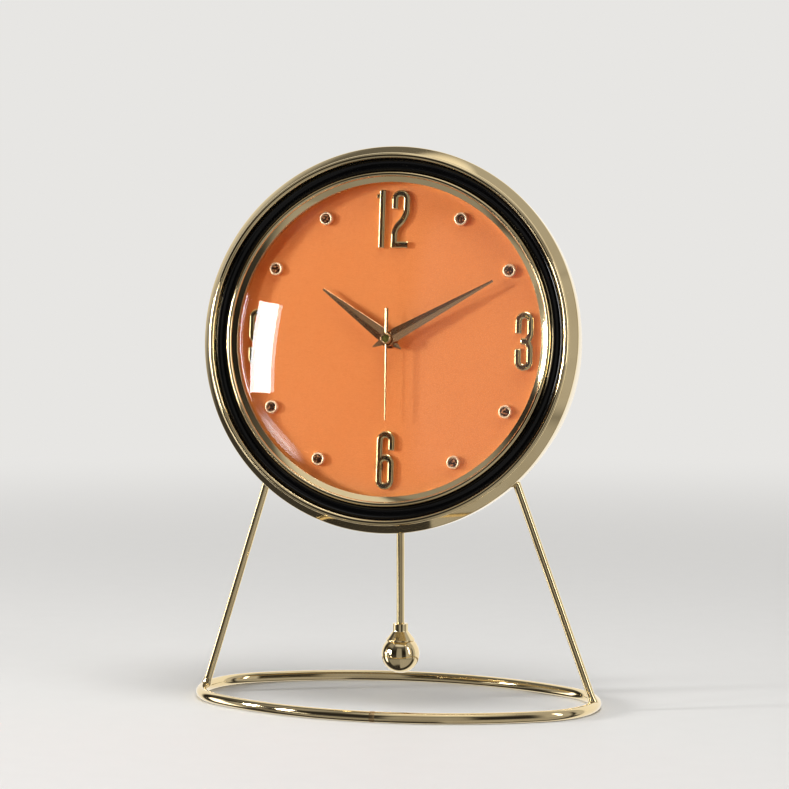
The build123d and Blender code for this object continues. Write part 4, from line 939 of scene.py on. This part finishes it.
@dataclass
class Dial:
    """The leather face, the raised numerals and the set stones."""

    height: float = 34.3
    width: float = 10.9
    line: float = 3.7
    rise: float = 2.4
    crown: float = 0.45
    sharp: float = 20.0
    turn_steps: int = 20
    hook: float = 11.2
    three_hook: float = 12.6
    three_bar: float = 5.5
    waist: float = 1.4
    waist_step: float = 0.75
    waist_parts: int = 6
    loop: float = 20.6
    six_tuck: float = 4.0
    flag: float = 1.45
    flag_width: float = 2.6
    flag_drop: float = 1.7
    pair_gap: float = 4.1
    foot: float = 10.3
    bend: Point = (6.0, -10.4)
    bend_steps: int = 10
    upright: float = 71.5
    side: float = 81.8
    stud_circle: float = 82.7
    stud_hours: tuple[int, ...] = (1, 2, 4, 5, 7, 8, 10, 11)
    cup: Profile = (
        (0.0, 0.0, 0.0), (4.1, 0.0, 0.25), (3.85, 2.4, 0.6),
        (2.7, 2.4, 0.45), (2.7, 1.2, 0.0), (0.0, 1.2, 0.0),
    )
    cup_steps: int = 8
    cup_turns: int = 64
    stone_rings: Profile = ((2.66, 1.25, 0.0), (2.66, 2.05, 0.0), (2.1, 2.6, 0.5), (1.25, 2.95, 0.0))
    stone_sides: int = 8
    stone_twist: float = 0.7
    stone_sharp: float = 2.0

    @property
    def turn(self) -> float:
        """Radius of a numeral's round turns, on the middle line."""
        return (self.width - self.line) / 2

    @property
    def reach(self) -> float:
        """Half the height of a numeral's middle line."""
        return (self.height - self.line) / 2

    @property
    def arch(self) -> float:
        """Where a numeral's upper turn starts and ends."""
        return self.reach - self.turn

    def build(self) -> None:
        """Dress the face and make the numerals and studs."""
        dress(Look.LEATHER, "dial_leather")
        dress(Look.BOARD, "dial_board")
        dress(Look.GOLD, "dial_washer", "dial_nut")
        for name, part, x, y, turn in (
            ("12", self.one_and_two(), 0.0, self.upright, 0.0),
            ("3", self.three(), self.side, 0.0, 0.0),
            ("6", self.six(), 0.0, -self.upright, 0.0),
            ("9", self.six(), -self.side, 0.0, pi),
        ):
            spot = HEAD @ Matrix.Translation((x, y, 0)) @ turned(turn)
            place(f"figure_{name}", part, spot, Look.FIGURE, [f"numeral_{name}"], sharp=self.sharp)
        self.build_studs()

    def over(self, x: float, high: float, to_right: bool) -> list[Point]:
        """A half turn over the top of a numeral about x, from left to right or back."""
        half = arc((x - self.turn, high), (x, high + self.turn), (x + self.turn, high), self.turn_steps)
        return half if to_right else half[::-1]

    def raised(self, path: Sequence[Point], closed: bool = False, width: float | None = None) -> Mesh:
        """A stroke of the numerals' own section, of the usual width unless one is given."""
        return stroke(path, width or self.line, self.rise, self.crown, closed)

    def one_and_two(self) -> Mesh:
        """The strokes of the twelve.

        Returns:
            Vertices and faces.
        """
        pair = self.flag + self.line + self.pair_gap + self.width
        one, two = self.flag + (self.line - pair) / 2, (pair - self.width) / 2
        half, level = self.height / 2, self.reach - self.flag_drop
        stem = self.raised([(one, -half), (one, half)])
        nib = [(one - self.flag - self.line / 2, level), (one - self.line / 4, level)]
        (top, low), run = self.bend, self.turn
        rise = (top - low) / 2
        radius = (run * run + rise * rise) / (2 * run)
        turns = [asin(rise / radius) * k / self.bend_steps for k in range(1, self.bend_steps + 1)]
        bend = [(two + run - radius * (1 - cos(t)), top - radius * sin(t)) for t in turns]
        back = [(2 * two - x, top + low - y) for x, y in bend[::-1]][1:] + [(two - run, low)]
        path = [(two - run, half - self.hook)] + self.over(two, self.arch, True)
        path += [(two + run, top)] + bend + back
        path += [(two - run, -self.reach), (two - self.width / 2 + self.foot, -self.reach)]
        return join(stem, self.raised(nib, width=self.flag_width), self.raised(path))

    def three(self) -> Mesh:
        """The strokes of the three.

        Returns:
            Vertices and faces.
        """
        half, parts = self.height / 2, self.waist_parts
        steps = range(-parts, parts + 1)
        dent = [self.waist / 2 * (1 + cos(pi * k / parts)) for k in steps]
        waist = [(self.turn - d, -self.waist_step * k) for k, d in zip(steps, dent)]
        bottom = [(x, -y) for x, y in self.over(0.0, self.arch, False)]
        path = [(-self.turn, half - self.three_hook)] + self.over(0.0, self.arch, True) + waist + bottom
        bar = self.raised([(self.turn - self.three_bar, 0.0), (self.turn - self.waist, 0.0)])
        return join(self.raised(path + [(-self.turn, self.three_hook - half)]), bar)

    def six(self) -> Mesh:
        """The strokes of the six.

        Returns:
            Vertices and faces.
        """
        half, over = self.height / 2, self.over(0.0, self.arch, False)
        high = self.loop - half - self.line / 2 - self.turn
        ring = self.over(0.0, high, True) + [(x, -y) for x, y in over]
        stem = [(self.turn, half - self.hook)] + over + [(-self.turn, high - self.six_tuck)]
        return join(self.raised(ring, True), self.raised(stem))

    def stone(self) -> Mesh:
        """One stone: a girdle, a crown of facets and a flat table.

        Returns:
            Vertices and faces.
        """
        count = self.stone_sides
        vertices, faces = [(0.0, 0.0, self.stone_rings[0][1])], []
        for radius, height, shift in self.stone_rings:
            turns = [tau * (k + shift) / count for k in range(count)]
            vertices += [(radius * cos(t), radius * sin(t), height) for t in turns]
        base, girdle, crown, table = (1 + ring * count for ring in range(len(self.stone_rings)))
        for k in range(count):
            n = (k + 1) % count
            faces += [
                [0, base + n, base + k],
                [base + k, base + n, girdle + n, girdle + k],
                [girdle + k, girdle + n, crown + k],
                [girdle + n, crown + n, crown + k],
                [crown + k, table + n, table + k],
                [crown + k, crown + n, table + n],
            ]
        return vertices, faces + [list(range(table, table + count))]

    def build_studs(self) -> None:
        """Make the cups and their stones."""
        body, stone = lathe(rounded(self.cup, self.cup_steps), self.cup_turns, closed=False), self.stone()
        cups, stones = [], []
        for hour in self.stud_hours:
            angle = radians(30 * hour)
            spot = Matrix.Translation((self.stud_circle * sin(angle), self.stud_circle * cos(angle), 0))
            cups.append(moved(body, spot))
            stones.append(moved(stone, spot @ turned(self.stone_twist * hour)))
        place("cups", join(*cups), HEAD, Look.SETTING, ["stud_cups"])
        crystals = join(*stones)
        place("stones", crystals, HEAD, Look.STONE, ["stud_crystals"], sharp=self.stone_sharp)


@dataclass
class Hands:
    """The hour, minute and second hands, at angles clockwise from the dial's top."""

    hour_angle: float = 305.5
    hour_length: float = 50.5
    hour_level: float = 3.9
    minute_angle: float = 61.0
    minute_length: float = 72.0
    minute_level: float = 5.9
    tip: float = 0.65
    shoulder: Point = (3.9, 6.3)
    waist: Point = (3.4, 0.0)
    tail: Point = (0.3, -10.0)
    ridge: float = 1.25
    ridge_end: float = 0.6
    ridge_inset: float = 0.4
    wall: float = 0.2
    edge: float = 0.07
    edge_slope: float = 0.8
    hub: Profile = ((0.0, 0.0, 0.0), (4.4, 0.0, 0.0), (4.4, 0.9, 0.25), (0.0, 0.9, 0.0))
    second_angle: float = 179.0
    second_level: float = 7.9
    needle: Profile = ((48.2, 0.32, 0.4), (0.0, 0.62, 0.6), (-3.4, 1.0, 0.6), (-18.0, 1.0, 0.6))
    needle_wall: float = 0.25
    cap: Profile = (
        (0.0, 0.05, 0.0), (3.4, 0.05, 0.2), (3.2, 2.2, 0.42),
        (2.3, 2.2, 0.38), (2.25, 1.3, 0.1), (0.0, 1.3, 0.0),
    )
    well: tuple[Point, ...] = ((2.2, 1.31), (1.9, 1.36), (1.0, 1.5), (0.0, 1.55), (0.0, 1.2), (2.2, 1.2))
    turns: int = 72
    well_turns: int = 48
    sharp: float = 8.0

    def build(self) -> None:
        """Make the three hands and dress the tube that carries the minute hand."""
        boss = lathe(rounded(self.hub), self.turns, closed=False)
        for name, body, angle, length, level in (
            ("hour", Body.HOUR, self.hour_angle, self.hour_length, self.hour_level),
            ("minute", Body.MINUTE, self.minute_angle, self.minute_length, self.minute_level),
        ):
            part = join(moved(self.blade(length), turned(-radians(angle))), boss)
            spot = HEAD @ Matrix.Translation((0, 0, level))
            place(f"{name}_blade", part, spot, Look.BRONZE, [f"{name}_hand"], body, self.sharp)
        dress(Look.GOLD, "minute_arbor")
        self.build_second()

    def blade(self, length: float) -> Mesh:
        """A ridged kite with a bevelled edge, pointed at both ends.

        Args:
            length: Reach of its tip from the centre.

        Returns:
            Vertices and faces.
        """
        right = [self.tail, self.waist, self.shoulder, (self.tip, length)]
        outline = [(-x, y) for x, y in right[::-1]] + right
        edge, count = self.edge, len(outline)
        inset = [(x * (1 - edge / abs(x)) if abs(x) > 2 * edge else x / 2, y) for x, y in outline]
        vertices = [(x, y, 0.0) for x, y in outline] + [(x, y, self.wall) for x, y in outline]
        vertices += [(x, y, self.wall + edge * self.edge_slope) for x, y in inset]
        vertices += [
            (0.0, length - self.ridge_inset, self.ridge_end), (0.0, self.shoulder[1], self.ridge),
            (0.0, self.waist[1], self.ridge), (0.0, self.ridge_inset + self.tail[1], self.ridge_end),
        ]
        faces = [list(range(count))]
        for k in range(count):
            n = (k + 1) % count
            faces.append([k, n, count + n, count + k])
            faces.append([count + k, count + n, 2 * count + n, 2 * count + k])
        rim, crest, last, tail = 2 * count, 3 * count, count - 1, len(right) - 1
        for k in range(tail):
            faces.append([rim + k, rim + k + 1, crest + k + 1, crest + k])
            faces.append([rim + last - k, crest + k, crest + k + 1, rim + last - 1 - k])
        return vertices, faces + [[rim, crest, rim + last], [rim + tail, rim + tail + 1, crest + tail]]

    def build_second(self) -> None:
        """Make the needle with its turned cap, and the sunk middle of the cap, a dark disc that paints the
        shade and dark reflection in its hollow.
        """
        vertices, wall = [], self.needle_wall
        for reach, half, ridge in self.needle:
            section = ((-half, 0.0), (half, 0.0), (half, wall), (0.0, ridge), (-half, wall))
            vertices += [(x, reach, height) for x, height in section]
        faces = skin(len(self.needle), len(section), False)
        blade = moved((vertices, faces), turned(-radians(self.second_angle)))
        spot = HEAD @ Matrix.Translation((0, 0, self.second_level))
        part = join(blade, lathe(rounded(self.cap), self.turns, closed=False))
        place("second_needle", part, spot, Look.NEEDLE, ["second_hand"], body=Body.SECOND)
        # The well's dark colour is painted shade and dark reflection of the hollow.
        well = lathe(self.well, self.well_turns)
        place("second_well", well, spot, Look.RECESS_SHADE, (), Body.SECOND)


@dataclass
class Movement:
    """The movement, its train, its motor, its cell and the pendulum's drive."""

    wheels: tuple[str, ...] = ("third_wheel", "fifth_wheel", "centre_wheel", "hour_wheel", "minute_wheel")

    def build(self) -> None:
        """Dress the movement's pieces."""
        dress(Look.BLACK, "movement_shell", "movement_cover", "set_knob", "pendulum_lever")
        dress(Look.PALE, "second_arbor", *self.wheels, "middle_plate")
        dress(Look.STEEL, "pivot_pin", "stator", "battery_contacts", "rotor", "lever_magnet")
        dress(Look.COPPER, "motor_coil", "drive_coil")
        dress(Look.CIRCUIT, "circuit_board")
        dress(Look.LABEL, "battery")
        dress(Look.RUBBER, "cushion_washer")


@dataclass
class Pendulum:
    """The plumb rod, the cap and the ball."""

    rod: float = 2.45
    rod_foot: float = 31.0
    rod_end: Point = (2.6, 2.2)
    rod_turns: int = 48
    ball: float = 11.6
    ball_height: float = 27.3
    ball_steps: int = 40
    ball_rings: int = 38
    turns: int = 96
    cap: Profile = (
        (2.5, 11.3, 0.0), (2.5, 18.6, 0.2), (4.6, 18.6, 0.4), (4.6, 14.0, 0.6),
        (8.7, 8.9, 0.25), (8.7, 8.2, 0.2), (8.2, 8.2, 0.0),
    )
    eye_bore: float = 2.0
    eye_radius: float = 3.6
    eye_swell: float = 1.5
    eye_sides: int = 16
    eye_turns: int = 40

    def build(self) -> None:
        """Make the ball, the cap and the rod with its eye."""
        low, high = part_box("bob_ball")
        plumb = Matrix.Translation((0, (low[1] + high[1]) / 2, 0)) @ SCALE
        bob = plumb @ Matrix.Translation((0, 0, self.ball_height))
        angles = [pi * k / self.ball_steps - pi / 2 for k in range(self.ball_rings)]
        curve = [(self.ball * cos(a) if k else 0.0, self.ball * sin(a)) for k, a in enumerate(angles)]
        ball = lathe(curve + [(0.0, curve[-1][1])], self.turns, closed=False)
        place("ball", ball, bob, Look.GOLD, ["bob_ball"], body=Body.PENDULUM)
        cap = lathe(rounded(self.cap), self.turns)
        place("cap", cap, bob, Look.GOLD, ["bob_cap"], body=Body.PENDULUM)
        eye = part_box("pendulum_rod")[1][2] / MM - self.eye_radius
        shaft = rounded([
            (0.0, self.rod_foot, 0.0), (self.rod, self.rod_foot, 0.2),
            (self.rod, eye - self.rod_end[0], 0.5), (0.0, eye - self.rod_end[1], 0.0),
        ])
        wire, middle = (self.eye_radius - self.eye_bore) / 2, (self.eye_radius + self.eye_bore) / 2
        turns = [tau * k / self.eye_sides for k in range(self.eye_sides)]
        bead = [(middle + wire * cos(t), self.eye_swell * wire * sin(t)) for t in turns]
        upright = Matrix.Translation((0, 0, eye)) @ Matrix.Rotation(pi / 2, 4, "X")
        part = join(lathe(shaft, self.rod_turns, closed=False), moved(lathe(bead, self.eye_turns), upright))
        place("rod", part, plumb, Look.GOLD, ["pendulum_rod"], body=Body.PENDULUM)


# Studio

@dataclass(frozen=True)
class Window:
    """One soft bright patch of the surroundings, which only reflections see.

    It spans the sides from first to last, in degrees from straight ahead, and the rises of the line of
    sight from low to top. Its slant is the rise of the whole patch with every degree. Soft and fade are
    the most that its edges take.
    """

    first: float
    last: float
    low: float
    top: float
    strength: float
    slant: float = 0.0
    soft: float = 4.0
    fade: float = 0.2

    def glow(self, tree: Tree, side: Socket, height: Socket) -> Socket:
        """The patch's brightness in one direction, with soft edges.

        Args:
            tree: The world's tree.
            side: The direction's side in degrees.
            height: The direction's rise.

        Returns:
            The brightness.
        """
        soft = min(self.soft, (self.last - self.first) / 4)
        fade = min(self.fade, (self.top - self.low) / 4)
        starts = tree.ramp(side, self.first - soft, self.first + soft)
        ends = tree.ramp(side, self.last + soft, self.last - soft)
        lean = tree.times(tree.math("SUBTRACT", side, self.first), self.slant)
        rise = tree.math("SUBTRACT", height, lean)
        foot = tree.ramp(rise, self.low, self.low + fade)
        head = tree.ramp(rise, self.top, self.top - fade)
        return tree.times(tree.times(tree.times(starts, ends), tree.times(foot, head)), self.strength)


@dataclass(frozen=True)
class Lamp:
    """A soft lamp that faces the clock; one that isn't mirrored doesn't show in reflections."""

    name: str
    spot: Corner
    size: Point
    power: float
    mirrored: bool = True
    aim: Corner = (0.0, 0.0, 0.2)

    def build(self) -> None:
        """Make the lamp."""
        data = bpy.data.lights.new(self.name, "AREA")
        data.shape = "RECTANGLE"
        data.size, data.size_y = self.size
        data.energy = self.power
        lamp = bpy.data.objects.new(self.name, data)
        lamp.location = self.spot
        toward = Vector(self.aim) - Vector(self.spot)
        lamp.rotation_euler = toward.to_track_quat("-Z", "Y").to_euler()
        lamp.visible_camera = False
        lamp.visible_glossy = self.mirrored
        bpy.context.scene.collection.objects.link(lamp)


@dataclass
class Studio:
    """The floor, the lights and the camera."""

    camera_place: Corner = (0.439, -1.572, 0.3039)
    pan: float = 15.64
    pitch: float = 4.15
    lens: float = 124.65
    sensor: float = 36.0
    floor_rings: tuple[float, ...] = (0.0, 0.5, 1.5, 12.0)
    floor_turns: int = 64
    floor_drop: float = 0.0002
    floor_shade: float = 0.97
    pale: Colour = (0.80, 0.79, 0.77, 1.0)
    dim: Corner = (0.022, 0.02, 0.018)
    fill: float = 0.22
    ceiling: float = 0.18
    zenith: float = 1.5
    backdrop: float = 1.3
    windows: tuple[Window, ...] = (
        Window(-106.0, -94.0, -0.5, 0.35, 1.6),
        Window(-92.0, -74.0, -0.5, 0.35, 0.4),
        Window(-106.0, -92.0, -0.62, 0.05, 4.0),
        Window(-108.0, -94.0, -0.07, 0.07, 9.0),
        Window(-63.0, -55.0, -0.18, -0.12, 8.0, -0.017),
        Window(-100.0, -58.0, 0.45, 1.2, 0.4),
        Window(-52.0, 34.0, 0.68, 1.3, 1.0),
        Window(-6.0, 80.0, -1.2, -0.3, 0.5),
        Window(-80.0, 25.0, -0.95, -0.34, 0.36),
        Window(-24.0, 8.0, -0.5, 0.75, 0.42),
        Window(34.0, 76.0, -0.5, 0.65, 0.62),
        Window(84.0, 150.0, -0.5, 0.65, 0.75),
        Window(38.0, 140.0, 0.35, 1.2, 0.6),
    )
    lamps: tuple[Lamp, ...] = (
        Lamp("key", (-1.787, -1.609, 0.47), (0.25, 0.83), 15.0),
        Lamp("side", (-1.90, -0.91, 0.55), (0.2, 0.4), 34.0),
        Lamp("top", (0.30, -0.30, 1.80), (0.9, 0.7), 18.0, False),
        Lamp("edge", (1.75, -0.55, 0.75), (0.25, 1.3), 5.0),
    )

    def build(self) -> None:
        """Set the stage."""
        self.build_camera()
        self.build_floor()
        self.build_world()
        for lamp in self.lamps:
            lamp.build()

    def build_camera(self) -> None:
        """Make the camera at the photograph's viewing angle."""
        data = bpy.data.cameras.new("camera")
        data.lens = self.lens
        data.sensor_width = self.sensor
        data.sensor_fit = "HORIZONTAL"
        camera = bpy.data.objects.new("camera", data)
        camera.location = self.camera_place
        camera.rotation_euler = (radians(90 - self.pitch), 0, radians(self.pan))
        bpy.context.scene.collection.objects.link(camera)
        bpy.context.scene.camera = camera

    def build_floor(self) -> None:
        """Make the pale floor, which fades out far from the clock."""
        shade = (*(v * self.floor_shade for v in self.pale[:3]), 1.0)
        rings = [(radius, 0.0) for radius in self.floor_rings]
        vertices, faces = lathe(rings, self.floor_turns, closed=False)
        mesh = bpy.data.meshes.new("floor")
        mesh.from_pydata(vertices, [], faces)
        mesh.materials.append(PaleFloor("pale_floor", self.pale, shade).build())
        floor = bpy.data.objects.new("floor", mesh)
        floor.location = (0, 0, -self.floor_drop)
        bpy.context.scene.collection.objects.link(floor)

    def build_world(self) -> None:
        """Make the surroundings: pale to the camera, pale behind the clock and dim in front of it."""
        world = bpy.data.worlds.new("studio")
        world.use_nodes = True
        bpy.context.scene.world = world
        tree = Tree(world.node_tree)
        toward = tree.add("TexCoord").outputs["Generated"]
        _, depth, height = tree.add("SeparateXYZ", {0: toward}).outputs
        s, c = sin(radians(self.pan)), cos(radians(self.pan))
        right, ahead = (
            tree.add("VectorMath", {0: toward, 1: axis}, operation="DOT_PRODUCT").outputs["Value"]
            for axis in ((c, s, 0.0), (s, -c, 0.0))
        )
        side = tree.math("DEGREES", tree.math("ARCTAN2", right, ahead))
        bright = tree.times(tree.ramp(height, 0.3, 0.95), self.ceiling)
        patches = [tree.times(tree.ramp(height, 0.955, 0.985), self.zenith)]
        patches += [pane.glow(tree, side, height) for pane in self.windows]
        patches.append(tree.times(tree.ramp(depth, 0.3, 0.5), self.backdrop))
        for patch in patches:
            bright = tree.math("MAXIMUM", bright, patch)
        shine = tree.add("VectorMath", {0: self.pale[:3], "Scale": bright}, operation="SCALE").outputs[0]
        around = tree.add("VectorMath", {0: shine, 1: self.dim}, operation="ADD").outputs[0]
        path = tree.add("LightPath").outputs
        seen = tree.math("ADD", path["Is Glossy Ray"], path["Is Transmission Ray"], clamp=True)
        colour = tree.blend(seen, (self.fill, self.fill, self.fill, 1.0), around)
        colour = tree.blend(path["Is Camera Ray"], colour, self.pale)
        back = tree.add("Background", {"Color": colour, "Strength": 1.0}).outputs[0]
        tree.add("OutputWorld", {"Surface": back})


# Build

def main() -> None:
    """Build the clock's pieces in order and log each one when it is done."""
    logging.basicConfig(level=logging.INFO, format="%(name)s %(message)s")
    bpy.context.scene.view_settings.view_transform = "Standard"
    for part in (Stand(), Head(), Dial(), Hands(), Movement(), Pendulum(), Studio()):
        part.build()
        log.info("%s done", type(part).__name__)


if __name__ == "__main__":
    main()
